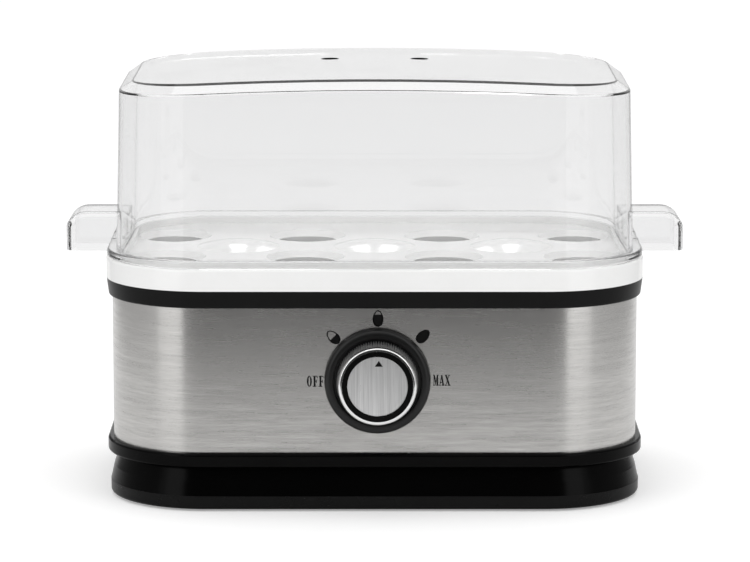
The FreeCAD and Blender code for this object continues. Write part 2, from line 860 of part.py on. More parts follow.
def make_top_ring():
    """Ring with a drafted face, tongue inside the steel, rim, ledge for the pan and pillars."""
    ring = Moulding("top_ring_body")
    ring.loft(ring.outline(band_top, S.ring_draft), ring.outline(ring_top, NIL))
    ring.round_edges(on_outline(band_top, S.ring_draft), S.ring_edge)
    tongue_foot = band_top - S.tongue_height
    tongue_back = tongue_inset + S.tongue_wall
    ring.pad(ring.outline(tongue_foot, tongue_inset), S.tongue_height)
    ring.pocket(ring.outline(band_top, tongue_back), S.tongue_height)
    ring.pocket(ring.outline(ring_top, S.rim_width), S.ring_height)
    groove = ring.outline(ring_top - S.ring_plate, tongue_back, S.rim_width - S.rim_wall)
    ring.pocket(groove, S.ring_height - S.ring_plate)
    ledge = ring.outline(shield_top, S.rim_width - S.rim_wall, ledge_inset)
    ring.pad(ledge, S.ledge_sheet)
    spots = four_corners(pillar_x, pillar_y)
    rise = shield_top + S.ledge_sheet / 2 - S.pillar_split
    ring.pad(ring.circles(S.pillar_split, spots, S.pillar_radius), rise)
    pilot_depth = S.screw_bite + S.overrun
    pilots = ring.circles(S.pillar_split + pilot_depth, spots, S.screw_radius + S.thread_gap)
    ring.pocket(pilots, pilot_depth)
    finish(ring.body, "top_ring")


def make_casing_screws():
    """Four long screws from under the foot plate up into the ring's pillars."""
    seat = S.foot_proud + S.screw_head_sink
    length = S.pillar_split + S.screw_bite - seat
    screws = []
    for i, (x, y) in enumerate(four_corners(pillar_x, pillar_y)):
        head_foot = (x, y, seat - S.screw_head_height)
        head = rod("casing_head_%d" % i, S.screw_head_radius, S.screw_head_height, head_foot)
        shank = rod("casing_shank_%d" % i, S.screw_radius, length, (x, y, seat))
        screws.append(fuse("casing_screw_%d" % i, head, shank))
    finish(group("casing_screws", *screws), "casing_screws")


# Heating: pan, seal, spreader, element, shield, cutout and fuse

def make_heating_pan():
    """Pressed pan whose flange rests on the ring's ledge."""
    pan = Moulding("heating_pan_body")
    pan.pad(pan.outline(pan_foot, pan_inset), S.pan_depth)
    pan.round_edges(on_outline(pan_foot, pan_inset), S.pan_bend)
    pan.pad(pan.outline(pan_flange_foot, S.rim_width + S.seat_gap), S.pan_sheet)
    inside = Moulding("pan_space")
    floor = pan_foot + S.pan_sheet
    inside.pad(inside.outline(floor, pan_inset + S.pan_sheet), S.pan_depth + S.overrun)
    inside.round_edges(on_outline(floor, pan_inset + S.pan_sheet), S.pan_bend - S.pan_sheet)
    finish(cut("heating_pan", pan.body, inside.body), "heating_pan")


def make_pan_gasket():
    """Flat seal between the ring's ledge and the pan's flange."""
    seal = Moulding("pan_gasket_body")
    seal.pad(seal.outline(ledge_top, S.rim_width + S.seat_gap, ledge_inset), S.gasket_height)
    finish(seal.body, "pan_gasket")


def make_heat_spreader():
    """Plate under the pan that carries the element, cutout, fuse and studs."""
    span = (S.spreader_width, S.spreader_depth, S.spreader_sheet)
    plate = centred_box("spreader_blank", (NIL, NIL), spreader_foot, span)

    def upright(edge):
        """A test for the four corner edges."""
        return near(edge.Length, S.spreader_sheet)

    finish(rounded("heat_spreader", plate, upright, S.spreader_corner), "heat_spreader")


def tail_end():
    """How far back the element's tails end."""
    return S.loop_depth / 2 - S.tail_bend - S.tail_length


def pin_tip():
    """How far back the front ends of the cold pins lie."""
    return tail_end() - S.pin_length


def make_heating_element():
    """Tubular loop with two tails that run forward to the cold pins."""
    half_across = S.loop_width / 2
    half_deep = S.loop_depth / 2
    half_pins = S.pin_spread / 2
    flat = [
        (-half_pins, tail_end()), (-half_pins, half_deep), (-half_across, half_deep),
        (-half_across, -half_deep), (half_across, -half_deep), (half_across, half_deep),
        (half_pins, half_deep), (half_pins, tail_end()),
    ]
    points = [(x, y, element_level) for x, y in flat]
    bends = [S.tail_bend] + [S.loop_corner] * 4 + [S.tail_bend]
    finish(tube("heating_element", points, S.element_radius, bends), "heating_element")
    pins = []
    for i, side in enumerate((-1, 1)):
        x = half_pins * side
        bead_start = (x, tail_end() - S.bead_length, element_level)
        bead = rod("bead_%d" % i, S.bead_radius, S.bead_length, bead_start, ALONG_Y)
        pin = rod("pin_%d" % i, S.pin_radius, S.pin_length, (x, pin_tip(), element_level), ALONG_Y)
        pins.append(fuse("cold_pin_%d" % i, bead, pin))
    finish(group("element_pins", *pins), "element_pins")


def stud_spots():
    """Places of the four studs under the spreader."""
    return four_corners(S.stud_across / 2, S.stud_deep / 2)


def make_heat_shield():
    """Sheet tray whose flange bears up under the ledge, with stud holes and the lead hole."""
    tray = Moulding("heat_shield_body")
    low_inset = ledge_inset + S.shield_taper
    neck = shield_foot + S.shield_low_height
    shoulder = shield_top - S.shield_high_height
    outside = (
        (shield_foot, low_inset),
        (neck, low_inset),
        (shoulder, ledge_inset),
        (shield_top, ledge_inset),
    )
    tray.loft(*[tray.outline(level, inset) for level, inset in outside])
    flange = tray.outline(shield_top - S.shield_sheet, ledge_inset - S.shield_flange)
    tray.pad(flange, S.shield_sheet)
    half_sheet = S.shield_sheet / 2
    lifts = (S.shield_sheet, half_sheet, half_sheet, NIL)
    inside = [(level + lift, inset + S.shield_sheet) for (level, inset), lift in zip(outside, lifts)]
    tray.hollow_loft(*[tray.outline(level, inset) for level, inset in inside])
    through = S.shield_sheet + S.overrun
    notches = tray.circles(shield_top, four_corners(pillar_x, pillar_y), S.pillar_radius + S.seat_gap)
    tray.pocket(notches, through)
    floor = shield_foot + S.shield_sheet
    tray.pocket(tray.circles(floor, stud_spots(), S.stud_radius + S.seat_gap), through)
    tray.pocket(tray.circles(floor, [(NIL, S.lead_hole_back)], S.lead_hole_radius), through)
    finish(tray.body, "heat_shield")


def make_lead_sleeve():
    """Silicone sleeve that lines the lead hole of the shield, with a lip on each side."""
    spot = (NIL, S.lead_hole_back)
    floor = shield_foot + S.shield_sheet
    lip_radius = S.lead_hole_radius + S.sleeve_lip
    core = rod("sleeve_core", S.lead_hole_radius - S.thread_gap, S.shield_sheet, (*spot, shield_foot))
    low = rod("sleeve_lip_low", lip_radius, S.sleeve_lip, (*spot, shield_foot - S.sleeve_lip))
    high = rod("sleeve_lip_high", lip_radius, S.sleeve_lip, (*spot, floor))
    bore_radius = S.lead_hole_radius - S.sleeve_lip
    bore = hole("sleeve_bore", bore_radius, spot, shield_foot - S.sleeve_lip, floor + S.sleeve_lip)
    finish(cut("lead_sleeve", fuse("lead_sleeve_whole", core, low, high), bore), "lead_sleeve")


def make_studs():
    """Four welded studs, their nuts and the earth tag on one of them."""
    tag_foot = shield_foot - S.tag_sheet
    foot = tag_foot - S.nut_height - S.foot_proud
    bore_radius = S.stud_radius + S.thread_gap
    studs = []
    nuts = []
    for i, spot in enumerate(stud_spots()):
        studs.append(rod("stud_%d" % i, S.stud_radius, spreader_foot - foot, (*spot, foot)))
        top = tag_foot if i == 0 else shield_foot
        nut = doc.addObject("Part::Prism", "nut_blank_%d" % i)
        nut.Polygon = 6
        bind(nut, "Circumradius", S.nut_flats / math.sqrt(3))
        bind(nut, "Height", S.nut_height)
        put(nut, *spot, top - S.nut_height)
        bore = hole("nut_bore_%d" % i, bore_radius, spot, top - S.nut_height, top)
        nuts.append(cut("nut_%d" % i, nut, bore))
    finish(group("shield_studs", *studs), "shield_studs")
    finish(group("shield_nuts", *nuts), "shield_nuts")
    x, y = stud_spots()[0]
    eye = rod("tag_eye", S.tag_radius, S.tag_sheet, (x, y, tag_foot))
    tail_span = (S.tag_tail, S.tag_radius, S.tag_sheet)
    tail = box("tag_tail_plate", (x, y - S.tag_radius / 2, tag_foot), tail_span)
    eye_hole = hole("tag_hole", bore_radius, (x, y), tag_foot, shield_foot)
    finish(cut("earth_tag", fuse("earth_tag_whole", eye, tail), eye_hole), "earth_tag")


def make_cutout():
    """Dry-boil cutout under the spreader, held by a bent strap."""
    place = (S.cutout_across, S.cutout_back)
    level = spreader_foot - S.cutout_height
    case = rod("cutout_case", S.cutout_radius, S.cutout_height, (*place, level))
    tabs = []
    for i, side in enumerate((-1, 1)):
        middle = (S.cutout_across + S.cutout_tab_spread / 2 * side, S.cutout_back)
        span = (S.tab_sheet, S.cutout_tab_width, S.cutout_tab_length)
        tabs.append(centred_box("cutout_tab_%d" % i, middle, level - S.cutout_tab_length, span))
    finish(fuse("dry_boil_cutout", case, *tabs), "dry_boil_cutout")
    foot = level - S.strap_sheet
    height = spreader_foot - foot
    outer = centred_box("strap_outer", place, foot, (S.strap_width, S.strap_span, height))
    inner_span = (S.strap_width + S.overrun * 2, S.strap_span - S.strap_sheet * 2, height)
    inner = centred_box("strap_inner", place, level, inner_span)
    finish(cut("cutout_strap", outer, inner), "cutout_strap")


def make_fuse():
    """Thermal fuse in line with one cold pin, in a clip under the spreader."""
    x = S.pin_spread / 2
    level = spreader_foot - S.fuse_radius
    back = pin_tip()
    case_front = back - S.fuse_lead_length - S.fuse_length
    case = rod("fuse_case", S.fuse_radius, S.fuse_length, (x, case_front, level), ALONG_Y)
    wire_start = (x, case_front - S.fuse_lead_length, level)
    wire = rod("fuse_wire", S.fuse_lead_radius, back - wire_start[1], wire_start, ALONG_Y)
    finish(fuse("thermal_fuse", case, wire), "thermal_fuse")
    middle = (x, case_front + S.fuse_length / 2)
    width = (S.fuse_radius + S.seat_gap + S.strap_sheet) * 2
    foot = spreader_foot - S.fuse_radius * 2 - S.seat_gap - S.strap_sheet
    outer = centred_box("clip_outer", middle, foot, (width, S.clip_width, spreader_foot - foot))
    inner_span = (width - S.strap_sheet * 2, S.clip_width + S.overrun * 2, spreader_foot - foot)
    inner = centred_box("clip_inner", middle, foot + S.strap_sheet, inner_span)
    finish(cut("fuse_clip", outer, inner), "fuse_clip")


# Knob and control. These pieces are made about their own axis, with height measured out of the
# steel's face, and are placed on the front.

def on_front(thing, label):
    """Places a piece made about its own upright axis on the front of the steel."""
    put(thing, S.knob_across, -steel_front, S.knob_level, OUTWARD)
    return finish(thing, label)


def refined(name, blank):
    """Wraps one primitive, so that the piece has a placement of its own."""
    thing = doc.addObject("Part::Refine", name)
    thing.Source = blank
    return thing


bracket_back = -S.band_sheet - S.bracket_sheet
case_back = bracket_back - S.control_depth
control_end = case_back - S.back_sheet
cam_front = bracket_back - S.control_front - S.cam_lift
cam_back = cam_front - S.cam_height
knob_face = S.knob_reach - S.knob_face_drop
knob_web = knob_face - S.knob_face
disc_seat = knob_face - S.disc_drop - S.disc_sheet
core_radius = S.sleeve_top_radius - S.sleeve_wall
hub_top = S.shaft_reach + S.seat_gap


def make_bezel():
    """Round bezel with a sunk floor, a spigot through the steel and two screw bores."""
    bezel = Moulding("knob_bezel_body")
    bezel.turn([
        (S.bezel_eye, NIL), (S.neck_pocket, NIL), (S.neck_pocket, -S.band_sheet),
        (S.spigot_radius, -S.band_sheet), (S.spigot_radius, NIL), (S.bezel_radius, NIL),
        (S.bezel_radius, S.bezel_height), (S.bezel_bore, S.bezel_height),
        (S.bezel_bore, S.bezel_floor), (S.bezel_eye, S.bezel_floor),
    ])
    bezel.round_edges(on_circle(S.bezel_height, S.bezel_radius), S.bezel_edge)
    bezel.round_edges(on_circle(S.bezel_height, S.bezel_bore), S.bezel_lip)
    spots = [(S.bracket_screw_spread / 2 * side, NIL) for side in (-1, 1)]
    depth = S.bracket_screw_bite + S.thread_gap
    bezel.pocket(bezel.circles(depth, spots, S.bracket_screw_radius + S.thread_gap), depth)
    on_front(bezel.body, "knob_bezel")


def make_knob_body():
    """Black core of the knob: face with the disc's recess, skirt, and a hub keyed to the shaft."""
    hub_outer = S.hub_radius + S.sleeve_wall
    skirt_inner = core_radius - S.sleeve_wall
    recess = S.disc_radius + S.thread_gap
    core = Moulding("knob_core_body")
    core.turn([
        (NIL, knob_web), (S.hub_radius, knob_web), (S.hub_radius, S.knob_lift),
        (hub_outer, S.knob_lift), (hub_outer, knob_web), (skirt_inner, knob_web),
        (skirt_inner, S.knob_lift), (core_radius, S.knob_lift), (core_radius, knob_face),
        (recess, knob_face), (recess, disc_seat), (NIL, disc_seat),
    ])
    hub = rod("hub_blank", S.hub_radius, knob_web - S.knob_lift, (NIL, NIL, S.knob_lift))
    bore_radius = S.shaft_radius + S.thread_gap
    bore_start = S.knob_lift - S.overrun
    bore = rod("hub_bore", bore_radius, hub_top - bore_start, (NIL, NIL, bore_start))
    flat = S.shaft_flat + S.clip_sheet + S.thread_gap
    span = (bore_radius * 2, S.shaft_radius, S.shaft_flat_length + S.overrun)
    key = box("hub_key", (-bore_radius, flat, hub_top - S.shaft_flat_length), span)
    keyed = cut("hub_bore_keyed", bore, key)
    on_front(cut("knob_body", fuse("knob_body_whole", core.body, hub), keyed), "knob_body")


def make_knob_sleeve():
    """Bright sleeve round the knob, with a rounded collar and a ring of grip teeth under it."""
    inner = core_radius + S.thread_gap
    tooth_top = S.knob_reach - S.sleeve_collar
    sleeve = Moulding("knob_sleeve_body")
    sleeve.turn([
        (inner, S.knob_lift), (S.sleeve_foot_radius, S.knob_lift), (S.sleeve_top_radius, tooth_top),
        (S.sleeve_top_radius, S.knob_reach), (inner, S.knob_reach),
    ])
    sleeve.round_edges(on_circle(S.knob_reach, S.sleeve_top_radius), S.sleeve_edge)
    half_gap = S.sleeve_foot_radius * (math.pi * TOOTH_GAP_SHARE / TOOTH_COUNT)
    notch = sleeve.sketch(tooth_top)
    draw_polygon(notch, [
        (S.sleeve_top_radius - S.tooth_depth / 2, NIL),
        (S.sleeve_foot_radius + S.tooth_depth, half_gap),
        (S.sleeve_foot_radius + S.tooth_depth, -half_gap),
    ])
    groove = sleeve.pocket(notch, tooth_top - S.knob_lift)
    ring = sleeve.body.newObject("PartDesign::PolarPattern", "tooth_ring")
    ring.Originals = [groove]
    ring.Axis = (notch, ["N_Axis"])
    ring.Angle = 360.0
    ring.Occurrences = TOOTH_COUNT
    sleeve.body.Tip = ring
    doc.recompute()
    on_front(sleeve.body, "knob_sleeve")


def make_knob_trim():
    """Aluminium disc in the knob's face, and the spring strip between hub and shaft flat."""
    disc = rod("disc_blank", S.disc_radius, S.disc_sheet, (NIL, NIL, disc_seat))
    on_front(refined("knob_disc", disc), "knob_disc")
    strip_foot = hub_top - S.shaft_flat_length
    span = (S.key_width, S.clip_sheet, S.shaft_reach - strip_foot)
    strip = box("clip_blank", (-S.key_width / 2, S.shaft_flat, strip_foot), span)
    on_front(refined("knob_clip", strip), "knob_clip")


def make_control_bracket():
    """Plate behind the steel that the control hangs on, and the two screws into the bezel."""
    span = (S.bracket_width, S.bracket_height, S.bracket_sheet)
    plate = centred_box("bracket_blank", (NIL, NIL), bracket_back, span)
    holes = [hole("bracket_eye", S.neck_radius + S.thread_gap, (NIL, NIL), bracket_back, -S.band_sheet)]
    screws = []
    for i, side in enumerate((-1, 1)):
        spot = (S.bracket_screw_spread / 2 * side, NIL)
        radius = S.bracket_screw_radius + S.seat_gap
        holes.append(hole("bracket_hole_%d" % i, radius, spot, bracket_back, -S.band_sheet))
        head_start = (*spot, bracket_back - S.bracket_head_height)
        head = rod("bracket_head_%d" % i, S.bracket_head_radius, S.bracket_head_height, head_start)
        length = S.bracket_screw_bite - bracket_back
        shank = rod("bracket_shank_%d" % i, S.bracket_screw_radius, length, (*spot, bracket_back))
        screws.append(fuse("bracket_screw_%d" % i, head, shank))
    on_front(cut("control_bracket", plate, *holes), "control_bracket")
    on_front(group("bracket_screws", *screws), "bracket_screws")


def make_control_case():
    """Control case with the neck that is riveted through the bracket, and its back plate."""
    centre = (NIL, NIL)
    span = (S.control_width, S.control_width, S.control_depth)
    case = centred_box("case_blank", centre, case_back, span)
    neck_end = S.neck_lip_height - S.band_sheet
    neck = rod("case_neck", S.neck_radius, neck_end - bracket_back, (*centre, bracket_back))
    lip = rod("case_neck_lip", S.neck_radius + S.neck_lip, S.neck_lip_height, (*centre, -S.band_sheet))
    space_end = bracket_back - S.control_front
    space_start = case_back - S.overrun
    space = rod("case_space", S.control_bore, space_end - space_start, (*centre, space_start))
    bush = hole("case_bush", S.shaft_radius + S.bearing_gap, centre, case_back, neck_end)
    on_front(cut("control_case", fuse("case_whole", case, neck, lip), space, bush), "control_case")
    back = centred_box("back_blank", centre, control_end, (S.control_width, S.control_width, S.back_sheet))
    pivot = hole("back_pivot", S.journal_radius + S.bearing_gap, centre, control_end, case_back)
    on_front(cut("control_back", back, pivot), "control_back")


def make_control_shaft():
    """Shaft with its flat and rear journal, and the notched cam that it turns."""
    centre = (NIL, NIL)
    main = rod("shaft_main", S.shaft_radius, S.shaft_reach - cam_front, (*centre, cam_front))
    journal = rod("shaft_journal", S.journal_radius, cam_front - control_end, (*centre, control_end))
    flat_foot = S.shaft_reach - S.shaft_flat_length
    span = (S.shaft_radius * 2, S.shaft_radius, S.shaft_flat_length + S.overrun)
    flat = box("shaft_flat_cut", (-S.shaft_radius, S.shaft_flat, flat_foot), span)
    on_front(cut("control_shaft", fuse("shaft_whole", main, journal), flat), "control_shaft")
    blank = rod("cam_blank", S.cam_radius, S.cam_height, (*centre, cam_back))
    bore = hole("cam_bore", S.journal_radius + S.thread_gap, centre, cam_back, cam_front)
    notch_spot = (NIL, -S.cam_radius - S.leaf_width / 2)
    notch = hole("cam_notch", S.leaf_width, notch_spot, cam_back, cam_front)
    on_front(cut("control_cam", blank, bore, notch), "control_cam")


def make_control_contact():
    """Contact leaf that stands on the back plate beside the cam, and the three tabs behind."""
    far_side = S.leaf_level + S.leaf_sheet
    bore = S.control_bore - S.seat_gap
    half_leaf = bore * math.sqrt(1 - (float(far_side) / float(bore)) ** 2)
    span = (half_leaf * 2, S.leaf_sheet, cam_back + S.leaf_width - case_back)
    leaf = box("leaf_blank", (-half_leaf, -far_side, case_back), span)
    on_front(refined("control_contact", leaf), "control_contact")
    tabs = []
    for i, side in enumerate((-1, 0, 1)):
        middle = (S.tab_spread * side, -S.tab_drop)
        span = (S.tab_width, S.tab_sheet, S.tab_length)
        tabs.append(centred_box("control_tab_%d" % i, middle, control_end - S.tab_length, span))
    on_front(group("control_tabs", *tabs), "control_tabs")


def tab_end(side):
    """The free end of one control tab, in the body's own directions."""
    x = S.knob_across + S.tab_spread * side
    return (x, S.tab_length - control_end - steel_front, S.knob_level - S.tab_drop)


# Fittings on the foot plate. Each stands on posts whose tops share one level.

post_top = cover_floor_top + S.post_height


def small_screw(name, spot, seat):
    """A small screw whose head sits on a level and whose shank goes down into a post."""
    head = rod(name + "_head", S.small_head_radius, S.small_head_height, (*spot, seat))
    foot = post_top - S.small_screw_bite
    shank = rod(name + "_shank", S.small_screw_radius, seat - foot, (*spot, foot))
    return fuse(name, head, shank)


def make_buzzer():
    """Buzzer on two posts."""
    place = (S.buzzer_across, S.buzzer_back)
    span = (S.buzzer_ear_spread + S.buzzer_ear_width, S.buzzer_ear_width, S.buzzer_ear_sheet)
    ears = centred_box("buzzer_ears", place, post_top, span)
    case_foot = cover_floor_top + S.seat_gap
    case = rod("buzzer_case", S.buzzer_radius, S.buzzer_height, (*place, case_foot))
    middle = case_foot + S.buzzer_height / 2
    mouth = rod("buzzer_mouth", S.small_screw_radius, S.buzzer_height, (*place, middle))
    seat = post_top + S.buzzer_ear_sheet
    spots = small_posts()[:2]
    radius = S.small_screw_radius + S.seat_gap
    holes = [hole("buzzer_hole_%d" % i, radius, spot, post_top, seat) for i, spot in enumerate(spots)]
    finish(cut("buzzer", fuse("buzzer_whole", ears, case), mouth, *holes), "buzzer")
    screws = [small_screw("buzzer_screw_%d" % i, spot, seat) for i, spot in enumerate(spots)]
    finish(group("buzzer_screws", *screws), "buzzer_screws")


def pole_end(number):
    """The front end of one bore of the terminal block."""
    x = S.block_across + S.block_pitch * (number - (BLOCK_POLES - 1) / 2)
    return (x, S.block_back - S.block_depth / 2, post_top + S.block_height / 2)


def make_terminal_block():
    """Terminal block on one post, with a bore for each pole."""
    place = (S.block_across, S.block_back)
    top = post_top + S.block_height
    blank = centred_box("block_blank", place, post_top, (S.block_width, S.block_depth, S.block_height))
    tools = []
    for i in range(BLOCK_POLES):
        x, y, z = pole_end(i)
        tools.append(level_hole("pole_bore_%d" % i, S.block_bore, (x, z), y, y + S.block_depth))
    spot = small_posts()[2]
    seat = post_top + S.clamp_sheet
    tools.append(hole("block_hole", S.small_screw_radius + S.seat_gap, spot, post_top, top))
    sink = rod("block_sink", S.small_head_radius + S.seat_gap, S.block_height, (*spot, seat))
    finish(cut("terminal_block", blank, *tools, sink), "terminal_block")
    finish(group("block_screw", small_screw("block_screw_one", spot, seat)), "block_screw")


def make_cord_clamp():
    """Bridge that holds the cord down between two posts, and its screws."""
    place = (S.cord_across, S.clamp_back)
    seat = post_top + S.clamp_sheet
    length = S.clamp_spread + S.clamp_width
    bar = centred_box("clamp_bar", place, post_top, (length, S.clamp_width, S.clamp_sheet))
    front = S.clamp_back - S.clamp_width / 2
    start = (S.cord_across, front, seat)
    arch = rod("clamp_arch", S.cord_hole + S.clamp_sheet, S.clamp_width, start, ALONG_Y)
    space = level_hole("clamp_space", S.cord_hole, (S.cord_across, seat), front, front + S.clamp_width)
    cut_depth = S.clamp_width + S.overrun * 2
    gap_span = (S.cord_hole * 2, cut_depth, S.clamp_sheet + S.overrun)
    gap = centred_box("clamp_gap", place, post_top - S.overrun, gap_span)
    below = centred_box("clamp_below", place, post_top - S.clamp_width, (length, cut_depth, S.clamp_width))
    spots = small_posts()[3:]
    radius = S.small_screw_radius + S.seat_gap
    holes = [hole("clamp_hole_%d" % i, radius, spot, post_top, seat) for i, spot in enumerate(spots)]
    finish(cut("cord_clamp", fuse("clamp_whole", bar, arch), space, gap, below, *holes), "cord_clamp")
    screws = [small_screw("clamp_screw_%d" % i, spot, seat) for i, spot in enumerate(spots)]
    finish(group("clamp_screws", *screws), "clamp_screws")


def make_cord_bushing():
    """Bushing in the back of the skirt, through which a supply cord enters."""
    spot = (S.cord_across, S.cord_level)
    inner = half_depth - S.skirt_neck_inset - S.skirt_wall - S.seat_gap
    outer = half_depth - S.skirt_foot_inset
    radius = S.bushing_radius - S.thread_gap
    lip_radius = S.bushing_radius + S.bushing_lip
    lip_start = inner - S.bushing_lip_sheet
    core = rod("bushing_core", radius, outer - inner, (S.cord_across, inner, S.cord_level), ALONG_Y)
    lips = []
    for i, y in enumerate((lip_start, outer)):
        start = (S.cord_across, y, S.cord_level)
        lips.append(rod("bushing_lip_%d" % i, lip_radius, S.bushing_lip_sheet, start, ALONG_Y))
    bore = level_hole("bushing_bore", S.cord_hole, spot, lip_start, outer + S.bushing_lip_sheet)
    finish(cut("cord_bushing", fuse("bushing_whole", core, *lips), bore), "cord_bushing")


# Internal leads, each from one terminal to the next

def lead(label, points, bends):
    """One insulated lead along its route."""
    finish(tube(label, points, S.lead_radius, bends), label)


def make_supply_leads():
    """Leads from the terminal block to the control and to the earth tag."""
    x, y, z = pole_end(0)
    end_x, end_y, end_z = tab_end(1)
    lead("live_lead", [
        (x, y, z), (x, y - S.lead_run, z), (end_x, end_y + S.lead_run, z + S.lead_run),
        (end_x, end_y + S.lead_run, end_z), (end_x, end_y, end_z),
    ], [S.lead_bend] * 3)
    x, y, z = pole_end(2)
    stud_x, stud_y = stud_spots()[0]
    tail = stud_x + S.tag_tail - S.lead_radius
    lead("earth_lead", [
        (x, y, z), (x, y - S.lead_run, z), (tail, stud_y, z + S.lead_run),
        (tail, stud_y, shield_foot - S.tag_sheet),
    ], [S.lead_bend] * 2)


def make_heater_leads():
    """Leads through the sleeve: control to cutout, cutout to element, and fuse back to the block."""
    side = S.lead_radius + S.lead_pair_gap
    tab_level = spreader_foot - S.cutout_height - S.cutout_tab_length + S.lead_radius
    half_tabs = (S.cutout_tab_spread + S.tab_sheet) / 2
    x, y, z = tab_end(0)
    end = S.cutout_across + half_tabs
    lead("heater_lead", [
        (x, y, z), (x, y + S.lead_run, z), (-side, S.lead_hole_back, z + S.lead_tight_bend),
        (-side, S.lead_hole_back, tab_level), (-side, S.cutout_back, tab_level),
        (end, S.cutout_back, tab_level),
    ], [S.lead_tight_bend] * 4)

    half_pins = S.pin_spread / 2
    start = S.cutout_across - half_tabs
    out = start - S.cutout_radius
    front = S.cutout_back - S.cutout_radius * 2
    lead("cutout_lead", [
        (start, S.cutout_back, tab_level), (out, S.cutout_back, tab_level), (out, front, element_level),
        (-half_pins, front, element_level), (-half_pins, pin_tip(), element_level),
    ], [S.lead_tight_bend] * 3)

    fuse_end = pin_tip() - S.fuse_length - S.fuse_lead_length * 2
    fuse_level = spreader_foot - S.fuse_radius
    front = S.lead_hole_back - S.lead_hole_radius
    inside = shield_foot + S.shield_sheet + S.sleeve_lip * 2 + S.lead_tight_bend
    x, y, z = pole_end(1)
    lead("return_lead", [
        (half_pins, fuse_end, fuse_level), (half_pins, front, fuse_level), (side, S.lead_hole_back, inside),
        (side, S.lead_hole_back, shield_foot - S.shield_depth), (x, y - S.lead_run, z), (x, y, z),
    ], [S.lead_tight_bend, S.lead_tight_bend, S.lead_bend, S.lead_bend])


def make_buzzer_lead():
    """Lead from the control down to the buzzer's top."""
    x, y, z = tab_end(-1)
    top = cover_floor_top + S.seat_gap + S.buzzer_height
    over = top + S.lead_run
    end = S.buzzer_across + S.buzzer_radius / 2
    lead("buzzer_lead", [
        (x, y, z), (x, y + S.lead_run, z), (end, S.buzzer_back - S.lead_run, over),
        (end, S.buzzer_back, over), (end, S.buzzer_back, top),
    ], [S.lead_bend] * 3)


# Egg tray

def seat_spots():
    """Places of the egg seats, in columns and rows about the middle."""
    spots = []
    for row in range(SEAT_ROWS):
        for column in range(SEAT_COLUMNS):
            x = S.seat_pitch_across * (column - (SEAT_COLUMNS - 1) / 2)
            y = S.seat_pitch_deep * (row - (SEAT_ROWS - 1) / 2)
            spots.append((x, y))
    return spots


def make_hills(floor):
    """Low rounded hills on the tray's floor, in the middle of each four seats."""
    radius = S.hill_radius
    height = S.hill_height
    sphere = (radius * (float(radius) / float(height)) + height) / 2
    lowest = math.degrees(math.asin(1 - float(height) / float(sphere)))
    hills = []
    for i in range(SEAT_COLUMNS - 1):
        hill = doc.addObject("Part::Sphere", "hill_%d" % i)
        bind(hill, "Radius", sphere)
        hill.Angle1 = lowest
        x = S.seat_pitch_across * (i - (SEAT_COLUMNS - 2) / 2)
        hills.append(put(hill, x, NIL, floor + height - sphere))
    return hills


def make_egg_tray():
    """Tray with a rim, a lip that keys the lid, a sunk floor, dished seats and a key in the ring."""
    tray = Moulding("egg_tray_body")
    tray.pad(tray.outline(ring_top, NIL), S.tray_height)
    tray.round_edges(on_outline(tray_top, NIL), S.tray_edge)
    tray.pad(tray.outline(tray_top, S.tray_lip_inset), S.tray_lip_height)
    floor_top = tray_top - S.tray_recess
    floor_foot = floor_top - S.tray_floor
    wall_inset = S.tray_lip_inset + S.tray_lip_sheet
    recess = tray.outline(tray_top + S.tray_lip_height, wall_inset)
    tray.pocket(recess, S.tray_recess + S.tray_lip_height)
    tray.pocket(tray.outline(floor_foot, S.tray_wall), floor_foot - ring_top)
    rim_foot = tray_top - S.tray_wall
    channel = tray.outline(rim_foot, S.tray_wall, wall_inset - S.tray_wall)
    tray.pocket(channel, rim_foot - floor_foot)
    key_inset = S.rim_width + S.seat_gap
    key_foot = ring_top - S.tray_key_depth
    key = tray.outline(key_foot, key_inset, key_inset + S.tray_key_sheet)
    tray.pad(key, floor_foot - key_foot)
    cups = []
    tools = []
    dish_foot = floor_top - S.seat_depth
    cup_foot = dish_foot - S.tray_floor
    for i, spot in enumerate(seat_spots()):
        low = S.seat_neck + S.tray_floor
        high = S.seat_radius + S.tray_floor / 2
        cups.append(cone("cup_%d" % i, low, high, S.seat_depth, (*spot, cup_foot)))
        tools.append(cone("dish_%d" % i, S.seat_neck, S.seat_radius, S.seat_depth, (*spot, dish_foot)))
        tools.append(hole("seat_hole_%d" % i, S.seat_hole, spot, cup_foot, floor_top))
    whole = fuse("egg_tray_whole", tray.body, *cups, *make_hills(floor_top))
    finish(cut("egg_tray", whole, *tools), "egg_tray")


# Lid

def lid_form(name, inward):
    """The lid's outer form or, set in by its wall, the space inside: drafted, crowned and bevelled."""
    form = Moulding(name)
    low = form.outline(tray_top, S.lid_inset + inward)
    high = form.outline(lid_top, S.lid_inset + S.lid_draft + inward)
    form.loft(low, high)
    crown_start = (NIL, -half_depth, lid_top - S.lid_crown_radius)
    crown = rod(name + "_crown", S.lid_crown_radius - inward, S.body_depth, crown_start, ALONG_Y)
    domed = common(name + "_domed", form.body, crown)
    sag = half_width * (float(half_width) / float(S.lid_crown_radius))
    lowest = lid_top - inward - sag

    def on_top(edge):
        """A test for the edges round the crowned top."""
        middle = edge.valueAt((edge.FirstParameter + edge.LastParameter) / 2)
        levels = [middle.z] + [v.Point.z for v in edge.Vertexes]
        return min(levels) > float(lowest)

    across = S.lid_bevel_across
    down = S.lid_bevel_down
    slope = math.hypot(float(across), float(down))
    lean = (float(across) + float(down) - slope) / float(across)
    inner_down = down - inward * lean
    inner_across = inner_down * (float(across) / float(down))
    return bevelled(name + "_bevelled", domed, on_top, inner_across, inner_down)


